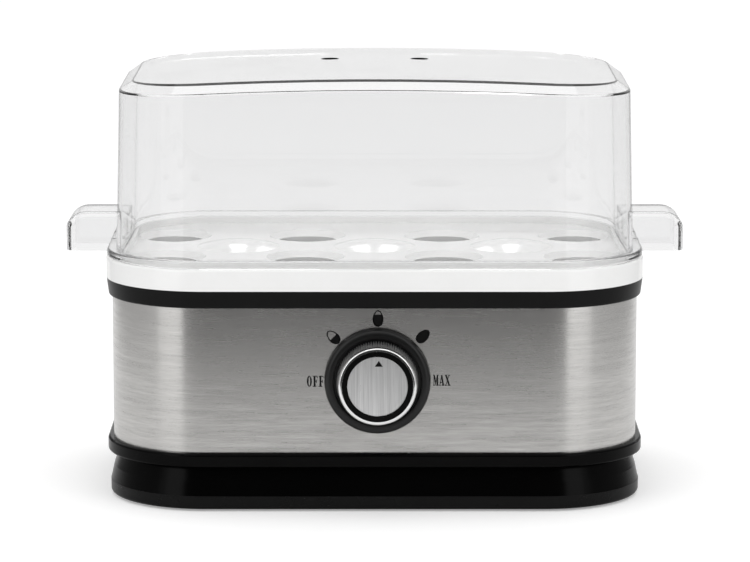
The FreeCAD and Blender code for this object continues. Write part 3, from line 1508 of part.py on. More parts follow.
def ear_form(name, side, inward, root):
    """A side handle's outer form or, set in by its wall, its hollow, which runs out below."""
    tip = half_width + S.ear_reach - inward
    bow_tip = tip + S.ear_relief
    foot = tray_top - S.ear_hang - (S.overrun if float(inward) else NIL)
    top = tray_top - S.ear_hang + S.ear_height - inward
    wide = S.ear_width - inward * 2
    crown = S.ear_crown - inward
    plan_span = (tip - root, wide, top - foot + S.overrun)
    plan = centred_box(name + "_plan", ((tip + root) / 2 * side, NIL), foot, plan_span)
    bow_root = root - S.overrun
    bow_foot = foot - S.overrun
    bow_span = (bow_tip - bow_root, wide + S.overrun * 2, top - bow_foot)
    bow = centred_box(name + "_bow", ((bow_tip + bow_root) / 2 * side, NIL), bow_foot, bow_span)

    def at_tip(edge):
        """A test for the two upright edges at the free end."""
        ends = [v.Point for v in edge.Vertexes]
        return all(near(p.x, tip * side) for p in ends) and near(ends[0].y, ends[-1].y)

    def over_tip(edge):
        """A test for the edge over the free end."""
        return all(near(v.X, bow_tip * side) and near(v.Z, top) for v in edge.Vertexes)

    def on_rim(edge):
        """A test for the edges round the top, from the wall out and over the free end."""
        middle = edge.valueAt((edge.FirstParameter + edge.LastParameter) / 2)
        level = near(middle.y, 0) and near(middle.z, top)
        return all(v.Z > float(top - crown) for v in edge.Vertexes) and not level

    cornered = rounded(name + "_cornered", plan, at_tip, S.ear_corner - inward)
    bowed = rounded(name + "_bowed", bow, over_tip, crown)
    form = common(name, cornered, bowed)
    return form if float(inward) else rounded(name + "_edged", form, on_rim, S.ear_edge)


def make_lid():
    """Clear lid: drafted walls, crowned top, flange, two steam holes and two hood handles."""
    outer = lid_form("lid_outer", NIL)
    space = lid_form("lid_space", S.lid_wall)
    rim = Moulding("lid_flange_body")
    half_wall = S.lid_wall / 2
    rim.pad(rim.outline(tray_top, S.lid_flange_inset, S.lid_inset + half_wall), S.lid_flange_height)
    rim.round_edges(on_outline(tray_top + S.lid_flange_height, S.lid_flange_inset), S.lid_flange_edge)
    rim.round_edges(on_outline(tray_top, S.lid_flange_inset), S.lid_flange_edge)
    wall_face = half_width - S.lid_inset
    ears = []
    hollows = []
    for side, word in ((-1, "left"), (1, "right")):
        ears.append(ear_form("ear_%s" % word, side, NIL, wall_face - half_wall))
        hollows.append(ear_form("ear_hollow_%s" % word, side, S.ear_wall, wall_face + S.thread_gap))
    below = Moulding("tray_clearance")
    below.pad(below.outline(ring_top, -S.seat_gap), S.tray_height)
    handles = cut("lid_handles", fuse("lid_ears", *ears), *hollows)
    holes = []
    for i, side in enumerate((-1, 1)):
        spot = (S.vent_hole_spread / 2 * side, S.vent_hole_back)
        holes.append(hole("steam_hole_%d" % i, S.vent_hole_radius, spot, lid_top - S.lid_wall, lid_top))
    whole = fuse("lid_whole", outer, rim.body, handles)
    finish(cut("egg_lid", whole, space, below.body, *holes), "egg_lid")


def main():
    """Builds every piece, checks all of them and writes one file for each."""
    makers = (
        make_bottom_cover, make_rubber_feet, make_lower_housing, make_steel_band, make_top_ring,
        make_casing_screws, make_heating_pan, make_pan_gasket, make_heat_spreader,
        make_heating_element, make_heat_shield, make_lead_sleeve, make_studs, make_cutout, make_fuse,
        make_bezel, make_knob_body, make_knob_sleeve, make_knob_trim, make_control_bracket,
        make_control_case, make_control_shaft, make_control_contact, make_buzzer,
        make_terminal_block, make_cord_clamp, make_cord_bushing, make_supply_leads,
        make_heater_leads, make_buzzer_lead, make_egg_tray, make_lid,
    )
    for make in makers:
        make()
    doc.recompute()
    failed = [thing.Name for thing in doc.Objects if {"Invalid", "Error"} & set(thing.State)]
    if failed:
        raise ValueError("these objects failed: " + ", ".join(failed))
    for thing in finished:
        shape = thing.Shape
        if shape.isNull() or not shape.isValid() or not shape.Solids:
            raise ValueError(thing.Label + " has no valid solid")
    os.makedirs("parts", exist_ok=True)
    for thing in finished:
        thing.Shape.exportStep("parts/%s.step" % thing.Label)
        print("%s: %d solid(s), %.1f mm3" % (thing.Label, len(thing.Shape.Solids), thing.Shape.Volume))


main()
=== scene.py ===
"""The looks of an egg boiler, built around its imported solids.

A steel band on a black plastic base carries a white egg tray under a clear lid. Every solid gets a finish
made of nodes, and the printed marks and the lid's shell are pieces of their own. Lengths are in millimetres
until a mesh is made, and in metres after that.
"""

import logging
import math
from dataclasses import dataclass
from enum import Enum
from typing import Callable, Optional, Sequence

import bpy
import numpy as np
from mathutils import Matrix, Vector


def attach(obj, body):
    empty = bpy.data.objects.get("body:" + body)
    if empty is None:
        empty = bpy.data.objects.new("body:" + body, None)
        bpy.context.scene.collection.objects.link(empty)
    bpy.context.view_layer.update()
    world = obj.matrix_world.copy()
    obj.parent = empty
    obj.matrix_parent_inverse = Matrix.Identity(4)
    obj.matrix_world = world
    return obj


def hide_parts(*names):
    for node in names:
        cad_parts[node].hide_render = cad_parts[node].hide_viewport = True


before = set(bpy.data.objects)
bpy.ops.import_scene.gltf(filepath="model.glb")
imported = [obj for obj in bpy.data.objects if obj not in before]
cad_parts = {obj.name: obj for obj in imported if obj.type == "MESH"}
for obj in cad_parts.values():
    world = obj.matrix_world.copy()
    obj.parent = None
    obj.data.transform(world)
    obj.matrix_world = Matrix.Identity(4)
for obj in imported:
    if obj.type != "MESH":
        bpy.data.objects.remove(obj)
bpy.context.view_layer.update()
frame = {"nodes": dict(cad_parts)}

LOG = logging.getLogger("egg_boiler")
MM = 0.001
Colour = tuple[float, float, float]
Points = np.ndarray
Faces = list[list[int]]
NodeSocket = bpy.types.NodeSocket


def grey(level: float) -> Colour:
    """A neutral colour of one level."""
    return (level, level, level)


def opaque(colour: Colour) -> tuple[float, float, float, float]:
    """The colour with an alpha of one."""
    return (*colour, 1.0)


# Surfaces


def add_mesh(name: str, points: Points, faces: Sequence[Sequence[int]],
             smooth: bool = True) -> bpy.types.Object:
    """Puts points and faces into a new object at the origin.

    Args:
        name: The piece's name.
        points: One row of x, y, z in millimetres for each vertex.
        faces: Vertex numbers of each face, anticlockwise from outside.
        smooth: True for faces that are shaded smooth.

    Returns:
        The new object.
    """
    mesh = bpy.data.meshes.new(name)
    mesh.from_pydata((np.asarray(points, float) * MM).tolist(), [], [list(map(int, f)) for f in faces])
    mesh.validate()
    mesh.update()
    mesh.polygons.foreach_set("use_smooth", np.full(len(mesh.polygons), smooth))
    made = bpy.data.objects.new(name, mesh)
    bpy.context.scene.collection.objects.link(made)
    return made


def grid_faces(rows: int, columns: int, closed: bool = False) -> Points:
    """Vertex numbers of the faces between the points of a grid.

    Args:
        rows: Points along the first parameter.
        columns: Points along the second parameter.
        closed: True where the last row meets the first, and the last column the first.

    Returns:
        One row of four vertex numbers for each face.
    """
    i = np.arange(rows if closed else rows - 1)[:, None]
    j = np.arange(columns if closed else columns - 1)[None, :]
    after_i, after_j = (i + 1) % rows, (j + 1) % columns
    corners = (i * columns + j, i * columns + after_j, after_i * columns + after_j, after_i * columns + j)
    return np.stack([np.broadcast_to(c, (i.size, j.size)).ravel() for c in corners], axis=1)


def slab(outline: Points, low: float, high: float) -> tuple[Points, Faces]:
    """A flat print: an outline in x and z, carried along y from low to high and closed at both ends.

    Args:
        outline: One row of x, z for each corner, anticlockwise as seen from the front.
        low: The front face's y.
        high: The back face's y.

    Returns:
        The points and the faces.
    """
    count = len(outline)
    front = np.column_stack([outline[:, 0], np.full(count, low), outline[:, 1]])
    back = front + [0.0, high - low, 0.0]
    ring = np.arange(count)
    after = np.roll(ring, -1)
    sides = np.column_stack([ring, ring + count, after + count, after])
    faces = [ring.tolist(), (ring[::-1] + count).tolist(), *sides.tolist()]
    return np.vstack([front, back]), faces


def band(outer: Points, inner: Points, low: float, high: float) -> tuple[Points, Faces]:
    """A flat ring: four loops in x and z, outer and inner, front and back, joined round as one grid.

    Args:
        outer: The outer loop, one row of x, z for each point, anticlockwise as seen from the front.
        inner: The inner loop, with as many points.
        low: The front face's y.
        high: The back face's y.

    Returns:
        The points and the faces.
    """
    count = len(outer)
    loops = ((outer, low), (outer, high), (inner, high), (inner, low))
    points = np.vstack([np.column_stack([loop[:, 0], np.full(count, y), loop[:, 1]]) for loop, y in loops])
    faces = grid_faces(len(loops), count, closed=True)
    return points, faces[:, ::-1].tolist()


def gathered(parts: Sequence[tuple[Points, Faces]]) -> tuple[Points, Faces]:
    """Several meshes as one list of points and one of faces."""
    points, faces, start = [], [], 0
    for part_points, part_faces in parts:
        points.append(part_points)
        faces += [[start + n for n in f] for f in part_faces]
        start += len(part_points)
    return np.vstack(points), faces


# Nodes


class Tree:
    """Adds nodes to one material or node group and joins them."""

    def __init__(self, tree: bpy.types.NodeTree) -> None:
        """Takes the tree and empties it."""
        self.tree = tree
        tree.nodes.clear()

    def add(self, kind: str, inputs: Optional[dict] = None, **settings: object) -> bpy.types.Node:
        """Adds a node.

        Args:
            kind: The node's type name, without ShaderNode.
            inputs: Value or output socket for each input, by name or number.
            settings: The node's own settings.

        Returns:
            The new node.
        """
        node = self.tree.nodes.new("ShaderNode" + kind)
        for name, value in settings.items():
            setattr(node, name, value)
        for name, value in (inputs or {}).items():
            if isinstance(value, NodeSocket):
                self.link(value, node.inputs[name])
            else:
                node.inputs[name].default_value = value
        return node

    def link(self, source: NodeSocket, target: NodeSocket) -> None:
        """Joins an output socket to an input socket."""
        self.tree.links.new(source, target)

    def calc(self, operation: str, *values: object) -> NodeSocket:
        """The output of a Math node of that operation on the values."""
        return self.add("Math", dict(enumerate(values)), operation=operation).outputs[0]

    def stretch(self, vector: NodeSocket, scale: Sequence[float]) -> NodeSocket:
        """The vector with each part scaled by its own number."""
        return self.add("Mapping", {"Vector": vector, "Scale": scale}).outputs[0]

    def noise(self, vector: NodeSocket, scale: object, detail: float, rough: float = 0.5) -> NodeSocket:
        """The value of a Noise texture."""
        inputs = {"Vector": vector, "Scale": scale, "Detail": detail, "Roughness": rough}
        return self.add("TexNoise", inputs).outputs[0]

    def spread(self, value: NodeSocket, low: object, high: object, first: float = 0.0,
               last: float = 1.0) -> NodeSocket:
        """The value carried from first to last onto low to high, and held at both ends."""
        inputs = {"Value": value, "From Min": first, "From Max": last, "To Min": low, "To Max": high}
        return self.add("MapRange", inputs).outputs[0]

    def between(self, share: object, first: object, second: object) -> NodeSocket:
        """A mix of two numbers, whose sockets on the Mix node are 2 and 3."""
        return self.add("Mix", {0: share, 2: first, 3: second}).outputs[0]

    def blend(self, share: object, first: object, second: object) -> NodeSocket:
        """A mix of two colours, whose sockets on the Mix node are 6 and 7."""
        return self.add("Mix", {0: share, 6: first, 7: second}, data_type="RGBA").outputs[2]


class Effect:
    """A shader node group with named inputs and outputs, built once and placed in each material."""

    def __init__(self, name: str, inputs: dict[str, tuple[str, object]], outputs: dict[str, str],
                 fill: Callable[[Tree, bpy.types.Node, bpy.types.Node], None]) -> None:
        """Keeps what the group needs until it is first used.

        Args:
            name: The group's name.
            inputs: Socket kind and first value of each input.
            outputs: Socket kind of each output.
            fill: Adds the group's own nodes between its input and output nodes.
        """
        self.name = name
        self.inputs = inputs
        self.outputs = outputs
        self.fill = fill
        self.group: Optional[bpy.types.NodeTree] = None

    def build(self) -> bpy.types.NodeTree:
        """Makes the group.

        Returns:
            The node tree.
        """
        group = bpy.data.node_groups.new(self.name, "ShaderNodeTree")
        tree = Tree(group)
        for name, (kind, value) in self.inputs.items():
            socket = group.interface.new_socket(name, in_out="INPUT", socket_type="NodeSocket" + kind)
            if value is not None:
                socket.default_value = value
        for name, kind in self.outputs.items():
            group.interface.new_socket(name, in_out="OUTPUT", socket_type="NodeSocket" + kind)
        way_in = group.nodes.new("NodeGroupInput")
        way_out = group.nodes.new("NodeGroupOutput")
        self.fill(tree, way_in, way_out)
        return group

    def place(self, tree: Tree, **inputs: object) -> bpy.types.Node:
        """Adds the group to a material.

        Args:
            tree: The material's nodes.
            inputs: Value or output socket of each input, its spaces written as underscores.

        Returns:
            The group's node.
        """
        if self.group is None:
            self.group = self.build()
        named = {name.replace("_", " "): value for name, value in inputs.items()}
        return tree.add("Group", named, node_tree=self.group)


def fill_mottle(tree: Tree, way_in: bpy.types.Node, way_out: bpy.types.Node) -> None:
    """Two sizes of soft noise carry the tone a little towards a second tone."""
    finer, broad_share, darkest, palest = 9.0, 0.7, 0.32, 0.68
    place = way_in.outputs["Place"]
    patches = way_in.outputs["Patches"]
    broad = tree.noise(place, patches, detail=3.0)
    fine = tree.noise(place, tree.calc("MULTIPLY", patches, finer), detail=2.0)
    both = tree.calc("ADD", tree.calc("MULTIPLY", broad, broad_share),
                     tree.calc("MULTIPLY", fine, 1.0 - broad_share))
    share = tree.spread(both, 0.0, 1.0, darkest, palest)
    mixed = tree.blend(share, way_in.outputs["Tone"], way_in.outputs["Other tone"])
    tree.link(mixed, way_out.inputs["Colour"])


def fill_grain(tree: Tree, way_in: bpy.types.Node, way_out: bpy.types.Node) -> None:
    """A fine pebble from small noise, over the slow waves of a cooled moulding, as a bumped normal."""
    pebble = tree.noise(way_in.outputs["Place"], way_in.outputs["Grains"], detail=3.0, rough=0.6)
    waves = tree.noise(way_in.outputs["Place"], way_in.outputs["Waves"], detail=1.0)
    inner = tree.add("Bump", {"Height": waves, "Distance": way_in.outputs["Wave depth"], "Strength": 1.0})
    outer = tree.add("Bump", {"Height": pebble, "Distance": way_in.outputs["Grain depth"], "Strength": 1.0,
                              "Normal": inner.outputs[0]})
    tree.link(outer.outputs[0], way_out.inputs["Normal"])


def fill_streaks(tree: Tree, way_in: bpy.types.Node, way_out: bpy.types.Node) -> None:
    """Brush lines: noise squeezed across the lines and drawn out along them, at two widths."""
    coarser, fine_share, deepest, highest = 0.23, 0.6, 0.3, 0.7
    place = way_in.outputs["Drawn place"]
    fine = tree.noise(place, way_in.outputs["Lines"], detail=2.0, rough=0.7)
    broad = tree.noise(place, tree.calc("MULTIPLY", way_in.outputs["Lines"], coarser), detail=1.0)
    both = tree.calc("ADD", tree.calc("MULTIPLY", fine, fine_share),
                     tree.calc("MULTIPLY", broad, 1.0 - fine_share))
    lines = tree.spread(both, 0.0, 1.0, deepest, highest)
    bump = tree.add("Bump", {"Height": lines, "Distance": way_in.outputs["Line depth"], "Strength": 1.0})
    tree.link(lines, way_out.inputs["Lines"])
    tree.link(bump.outputs[0], way_out.inputs["Normal"])


def fill_handling(tree: Tree, way_in: bpy.types.Node, way_out: bpy.types.Node) -> None:
    """Faint smears and dust: cloudy patches make the surface a little duller, more so where it faces up."""
    clouds, clear, cloudy = 38.0, 0.45, 0.75
    upright_share, upright, level = 0.35, 0.2, 0.95
    cloud = tree.noise(way_in.outputs["Place"], clouds, detail=4.0, rough=0.62)
    cloud = tree.spread(cloud, 0.0, 1.0, clear, cloudy)
    facing = tree.add("SeparateXYZ", {0: tree.add("NewGeometry").outputs["Normal"]}).outputs[2]
    up = tree.spread(facing, upright_share, 1.0, upright, level)
    smear = tree.calc("MULTIPLY", tree.calc("MULTIPLY", cloud, up), way_in.outputs["Amount"])
    tree.link(tree.calc("ADD", way_in.outputs["Roughness"], smear), way_out.inputs["Roughness"])


def fill_edges(tree: Tree, way_in: bpy.types.Node, way_out: bpy.types.Node) -> None:
    """Where a rounded normal leaves the true one, the surface is an edge, and shows a paler tone."""
    sharp, flat = 0.75, 0.98
    rounded = tree.add("Bevel", {"Radius": way_in.outputs["Width"]}, samples=4).outputs[0]
    true = tree.add("NewGeometry").outputs["Normal"]
    match = tree.add("VectorMath", {0: rounded, 1: true}, operation="DOT_PRODUCT").outputs["Value"]
    worn = tree.spread(match, way_in.outputs["Amount"], 0.0, sharp, flat)
    mixed = tree.blend(worn, way_in.outputs["Colour"], way_in.outputs["Worn tone"])
    tree.link(mixed, way_out.inputs["Colour"])


MOTTLE = Effect(
    "mottled_tone",
    {"Place": ("Vector", None), "Patches": ("Float", 60.0), "Tone": ("Color", opaque(grey(0.5))),
     "Other tone": ("Color", opaque(grey(0.45)))},
    {"Colour": "Color"}, fill_mottle)
GRAIN = Effect(
    "moulded_grain",
    {"Place": ("Vector", None), "Grains": ("Float", 3000.0), "Grain depth": ("Float", 0.01 * MM),
     "Waves": ("Float", 40.0), "Wave depth": ("Float", 0.01 * MM)},
    {"Normal": "Vector"}, fill_grain)
STREAKS = Effect(
    "brush_lines",
    {"Drawn place": ("Vector", None), "Lines": ("Float", 400.0), "Line depth": ("Float", 0.01 * MM)},
    {"Lines": "Float", "Normal": "Vector"}, fill_streaks)
HANDLING = Effect(
    "handling_marks",
    {"Place": ("Vector", None), "Roughness": ("Float", 0.3), "Amount": ("Float", 0.05)},
    {"Roughness": "Float"}, fill_handling)
EDGES = Effect(
    "edge_wear",
    {"Colour": ("Color", opaque(grey(0.5))), "Worn tone": ("Color", opaque(grey(0.6))),
     "Width": ("Float", 0.4 * MM), "Amount": ("Float", 0.3)},
    {"Colour": "Color"}, fill_edges)


# Finishes


class Drawn(Enum):
    """How a surface is drawn out: the scale along x, y and z of the place that its lines are read from."""

    NOT = (1.0, 1.0, 1.0)
    ROUND_THE_BAND = (0.05, 0.05, 1.0)
    UP_AND_DOWN = (1.0, 1.0, 0.02)
    ALONG_X = (0.02, 1.0, 1.0)
    ALONG_Y = (1.0, 0.02, 1.0)


@dataclass(frozen=True)
class Moulded:
    """A moulded plastic or rubber: a mottled tone, fine grain, slow waves and faint handling marks."""

    name: str
    tone: Colour
    other_tone: Colour
    worn_tone: Colour
    rough: float = 0.3
    smears: float = 0.08
    patches: float = 60.0
    grains: float = 2500.0
    grain_depth: float = 0.004 * MM
    waves: float = 45.0
    wave_depth: float = 0.02 * MM
    edge_width: float = 0.35 * MM
    edge_amount: float = 0.25
    specular: float = 0.5

    def make(self) -> bpy.types.Material:
        """Makes the material.

        Returns:
            The new material.
        """
        material, tree, place, shader = new_material(self.name)
        mottle = MOTTLE.place(tree, Place=place, Patches=self.patches, Tone=opaque(self.tone),
                              Other_tone=opaque(self.other_tone))
        edges = EDGES.place(tree, Colour=mottle.outputs["Colour"], Worn_tone=opaque(self.worn_tone),
                            Width=self.edge_width, Amount=self.edge_amount)
        grain = GRAIN.place(tree, Place=place, Grains=self.grains, Grain_depth=self.grain_depth,
                            Waves=self.waves, Wave_depth=self.wave_depth)
        handling = HANDLING.place(tree, Place=place, Roughness=self.rough, Amount=self.smears)
        join(tree, shader, {"Base Color": edges.outputs["Colour"],
                            "Roughness": handling.outputs["Roughness"],
                            "Normal": grain.outputs["Normal"]})
        settle(shader, {"Specular IOR Level": self.specular})
        return material


@dataclass(frozen=True)
class Metal:
    """A metal: a tone that follows its brush, rolling or casting lines, with smears and worn edges.

    Past a given y, the faces behind it are rougher, and their colour turns darker as painted shade.
    """

    name: str
    tone: Colour
    other_tone: Colour
    rough: float = 0.3
    rough_gain: float = 0.08
    smears: float = 0.06
    drawn: Drawn = Drawn.NOT
    lines: float = 400.0
    line_depth: float = 0.003 * MM
    stretch: float = 0.0
    stretch_turn: float = 0.0
    edge_width: float = 0.2 * MM
    edge_amount: float = 0.2
    edge_gain: float = 1.25
    satin_and_shade_behind: Optional[float] = None
    satin_and_shade_fade: float = 0.1 * MM
    dull_rough: float = 0.4
    painted_shade_tone: Colour = (0.3, 0.3, 0.3)

    def make(self) -> bpy.types.Material:
        """Makes the material.

        Returns:
            The new material.
        """
        material, tree, place, shader = new_material(self.name)
        drawn_place = tree.stretch(place, self.drawn.value)
        streaks = STREAKS.place(tree, Drawn_place=drawn_place, Lines=self.lines, Line_depth=self.line_depth)
        tone = tree.blend(streaks.outputs["Lines"], opaque(self.tone), opaque(self.other_tone))
        worn = tuple(min(1.0, c * self.edge_gain) for c in self.tone)
        edges = EDGES.place(tree, Colour=tone, Worn_tone=opaque(worn), Width=self.edge_width,
                            Amount=self.edge_amount)
        base_rough = tree.spread(streaks.outputs["Lines"], self.rough, self.rough + self.rough_gain)
        colour = edges.outputs["Colour"]
        # Past the given y the faces turn rougher, and their colour is darkened as painted shade.
        if self.satin_and_shade_behind is not None:
            along = tree.add("SeparateXYZ", {0: place}).outputs[1]
            share = tree.spread(along, 0.0, 1.0, self.satin_and_shade_behind - self.satin_and_shade_fade, self.satin_and_shade_behind)
            base_rough = tree.between(share, base_rough, self.dull_rough)
            colour = tree.blend(share, colour, opaque(self.painted_shade_tone))
        handling = HANDLING.place(tree, Place=place, Roughness=base_rough, Amount=self.smears)
        join(tree, shader, {"Base Color": colour, "Roughness": handling.outputs["Roughness"],
                            "Normal": streaks.outputs["Normal"]})
        settle(shader, {"Metallic": 1.0, "Anisotropic": self.stretch,
                        "Anisotropic Rotation": self.stretch_turn})
        if self.stretch > 0.0:
            tangent = tree.add("Tangent", direction_type="RADIAL", axis="Z")
            tree.link(tangent.outputs[0], shader.inputs["Tangent"])
        return material


@dataclass(frozen=True)
class Clear:
    """Clear plastic that bends light as its real thickness does and lets the lamps through."""

    name: str
    tone: Colour = (0.95, 0.95, 0.951)
    other_tone: Colour = (0.943, 0.943, 0.945)
    rough: float = 0.015
    smears: float = 0.03
    bend: float = 1.49
    patches: float = 30.0
    grains: float = 900.0
    grain_depth: float = 0.0004 * MM
    waves: float = 28.0
    wave_depth: float = 0.012 * MM
    lamp_tone: Colour = (0.995, 0.995, 0.995)

    def make(self) -> bpy.types.Material:
        """Makes the material.

        Returns:
            The new material.
        """
        material, tree, place, shader = new_material(self.name)
        mottle = MOTTLE.place(tree, Place=place, Patches=self.patches, Tone=opaque(self.tone),
                              Other_tone=opaque(self.other_tone))
        grain = GRAIN.place(tree, Place=place, Grains=self.grains, Grain_depth=self.grain_depth,
                            Waves=self.waves, Wave_depth=self.wave_depth)
        handling = HANDLING.place(tree, Place=place, Roughness=self.rough, Amount=self.smears)
        join(tree, shader, {"Base Color": mottle.outputs["Colour"],
                            "Roughness": handling.outputs["Roughness"],
                            "Normal": grain.outputs["Normal"]})
        settle(shader, {"Transmission Weight": 1.0, "IOR": self.bend})
        through = tree.add("BsdfTransparent", {"Color": opaque(self.lamp_tone)})
        shadow = tree.add("LightPath").outputs["Is Shadow Ray"]
        mix = tree.add("MixShader", {0: shadow, 1: shader.outputs[0], 2: through.outputs[0]})
        output = next(n for n in tree.tree.nodes if n.type == "OUTPUT_MATERIAL")
        tree.link(mix.outputs[0], output.inputs["Surface"])
        return material


def new_material(name: str) -> tuple[bpy.types.Material, Tree, NodeSocket, bpy.types.Node]:
    """A new material with a Principled shader.

    Args:
        name: The material's name.

    Returns:
        The material, its nodes, the Object coordinates and the shader.
    """
    material = bpy.data.materials.new(name)
    material.use_nodes = True
    tree = Tree(material.node_tree)
    shader = tree.add("BsdfPrincipled")
    output = tree.add("OutputMaterial")
    tree.link(shader.outputs[0], output.inputs["Surface"])
    place = tree.add("TexCoord").outputs["Object"]
    return material, tree, place, shader


def join(tree: Tree, shader: bpy.types.Node, sources: dict[str, NodeSocket]) -> None:
    """Feeds each of the shader's inputs from its source."""
    for name, source in sources.items():
        tree.link(source, shader.inputs[name])


def settle(shader: bpy.types.Node, values: dict[str, float]) -> None:
    """Sets plain values on the shader's own sockets."""
    for name, value in values.items():
        shader.inputs[name].default_value = value


BLACK_RING = Moulded("satin_black_ring", grey(0.0045), grey(0.006), grey(0.014), rough=0.32, smears=0.05,
                     specular=0.1)
BLACK_GLOSS = Moulded("glossy_black_housing", grey(0.001), grey(0.0014), grey(0.006), rough=0.18,
                      smears=0.05, grain_depth=0.0012 * MM, specular=0.06)
BLACK_COVER = Moulded("black_bottom_cover", grey(0.003), grey(0.004), grey(0.01), rough=0.27,
                      grain_depth=0.006 * MM, specular=0.12)
BLACK_KNOB = Moulded("black_knob_plastic", grey(0.002), grey(0.0025), grey(0.008), rough=0.24, smears=0.04,
                     grain_depth=0.002 * MM, specular=0.08)
BLACK_BEZEL = Moulded("satin_black_bezel", grey(0.007), grey(0.009), grey(0.05), rough=0.3, smears=0.05,
                      grain_depth=0.002 * MM, specular=0.3, edge_amount=0.6)
WHITE_TRAY = Moulded("white_tray_plastic", (0.9, 0.9, 0.895), (0.875, 0.875, 0.868), (0.93, 0.93, 0.93),
                     rough=0.1, smears=0.05, grain_depth=0.0015 * MM, edge_amount=0.15)
CLEAR_LID = Clear("clear_lid_plastic")
BAND_STEEL = Metal("brushed_band_steel", (0.62, 0.61, 0.595), (0.48, 0.472, 0.46), rough=0.21,
                   rough_gain=0.08, drawn=Drawn.ROUND_THE_BAND, lines=2400.0, line_depth=0.0025 * MM,
                   stretch=0.6, stretch_turn=0.25)
# The knurled grip behind the collar is rougher, and its darker colour is painted shade in its recess.
CHROME = Metal("bright_chrome", grey(0.86), grey(0.83), rough=0.07, rough_gain=0.03, smears=0.03,
               lines=150.0, line_depth=0.0, satin_and_shade_behind=-73.25 * MM, dull_rough=0.5, painted_shade_tone=grey(0.45))
DISC = Metal("brushed_disc", grey(0.98), grey(0.6), rough=0.27, rough_gain=0.12, drawn=Drawn.UP_AND_DOWN,
             lines=2200.0, line_depth=0.006 * MM)
# The pan's tone sits far below bare aluminium: painted shade under the tray, seen through the seat holes.
PAN_IN_PAINTED_SHADE = Metal("pan_aluminium_painted_shade", (0.14, 0.14, 0.144), (0.11, 0.11, 0.114), rough=0.34, rough_gain=0.12,
            smears=0.12, drawn=Drawn.ALONG_X, lines=1500.0)
PLATED = Metal("zinc_plated_steel", (0.62, 0.63, 0.65), (0.5, 0.51, 0.54), rough=0.32, rough_gain=0.14,
               drawn=Drawn.ALONG_X, lines=900.0)
CAST = Metal("cast_aluminium", grey(0.66), grey(0.52), rough=0.4, rough_gain=0.15, lines=700.0,
             line_depth=0.02 * MM)
SHEATH = Metal("annealed_sheath", (0.34, 0.31, 0.27), (0.24, 0.22, 0.21), rough=0.42, rough_gain=0.12,
               drawn=Drawn.ALONG_Y, lines=800.0)
BRASS = Metal("sheet_brass", (0.72, 0.53, 0.22), (0.6, 0.43, 0.17), rough=0.28, drawn=Drawn.ALONG_X,
              lines=900.0)
RUBBER = Moulded("soft_rubber", grey(0.018), grey(0.024), grey(0.05), rough=0.62, smears=0.12,
                 grain_depth=0.012 * MM, specular=0.35)
SILICONE = Moulded("red_brown_silicone", (0.42, 0.1, 0.055), (0.36, 0.085, 0.05), (0.5, 0.16, 0.1),
                   rough=0.5, specular=0.4)
NATURAL = Moulded("natural_polyamide", (0.62, 0.58, 0.47), (0.56, 0.52, 0.42), (0.7, 0.66, 0.56), rough=0.4,
                  grain_depth=0.01 * MM)
BLOCK = Moulded("white_block_plastic", (0.7, 0.7, 0.68), (0.64, 0.64, 0.62), (0.78, 0.78, 0.77), rough=0.42,
                grain_depth=0.01 * MM)
BROWN_WIRE = Moulded("brown_wire_cover", (0.15, 0.055, 0.02), (0.12, 0.045, 0.017), (0.2, 0.09, 0.05),
                     rough=0.34)
BLUE_WIRE = Moulded("blue_wire_cover", (0.03, 0.11, 0.42), (0.025, 0.09, 0.36), (0.08, 0.18, 0.5),
                    rough=0.34)
GREEN_WIRE = Moulded("green_wire_cover", (0.1, 0.34, 0.07), (0.5, 0.46, 0.04), (0.3, 0.45, 0.2), rough=0.34,
                     patches=110.0)
BLACK_PRINT = Moulded("black_panel_print", grey(0.005), grey(0.008), grey(0.012), rough=0.45, smears=0.1,
                      patches=600.0, grain_depth=0.003 * MM, edge_amount=0.0, specular=0.04)

Finish = Moulded | Metal | Clear

SLOT_FINISH: dict[str, Finish] = {
    "clear_plastic": CLEAR_LID,
    "white_plastic": WHITE_TRAY,
    "black_plastic": BLACK_GLOSS,
    "brushed_steel": BAND_STEEL,
    "chrome": CHROME,
    "disc_aluminium": DISC,
    "pan_coat": PAN_IN_PAINTED_SHADE,
    "aluminium": CAST,
    "element_sheath": SHEATH,
    "plated_steel": PLATED,
    "brass": BRASS,
    "rubber": RUBBER,
    "silicone": SILICONE,
    "inner_plastic": NATURAL,
    "block_plastic": BLOCK,
    "brown_wire": BROWN_WIRE,
    "blue_wire": BLUE_WIRE,
    "green_wire": GREEN_WIRE,
}
NODE_FINISH: dict[str, Finish] = {
    "top_ring": BLACK_RING,
    "bottom_cover": BLACK_COVER,
    "knob_bezel": BLACK_BEZEL,
    "knob_body": BLACK_KNOB,
}


class Paint:
    """Makes each finish once and puts it on pieces."""

    def __init__(self) -> None:
        """Starts with no material made."""
        self.made: dict[str, bpy.types.Material] = {}

    def on(self, piece: bpy.types.Object, finish: Finish) -> None:
        """Puts the finish on every slot of the piece.

        Args:
            piece: A CAD node's object or a piece of the scene.
            finish: What it is finished in.
        """
        if finish.name not in self.made:
            self.made[finish.name] = finish.make()
        if not piece.material_slots:
            piece.data.materials.append(self.made[finish.name])
        for spot in piece.material_slots:
            spot.material = self.made[finish.name]


# The object


@dataclass
class Solids:
    """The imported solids, each dressed in the finish of its material slot or one of its own."""

    nodes: dict[str, bpy.types.Object]

    def dress(self, paint: Paint) -> None:
        """Gives every CAD node its finish."""
        for name, solid in self.nodes.items():
            slot = solid.material_slots[0].material.name.split(".")[0]
            finish = NODE_FINISH.get(name, SLOT_FINISH[slot])
            paint.on(solid, finish)
            LOG.info("%s is dressed in %s", name, finish.name)


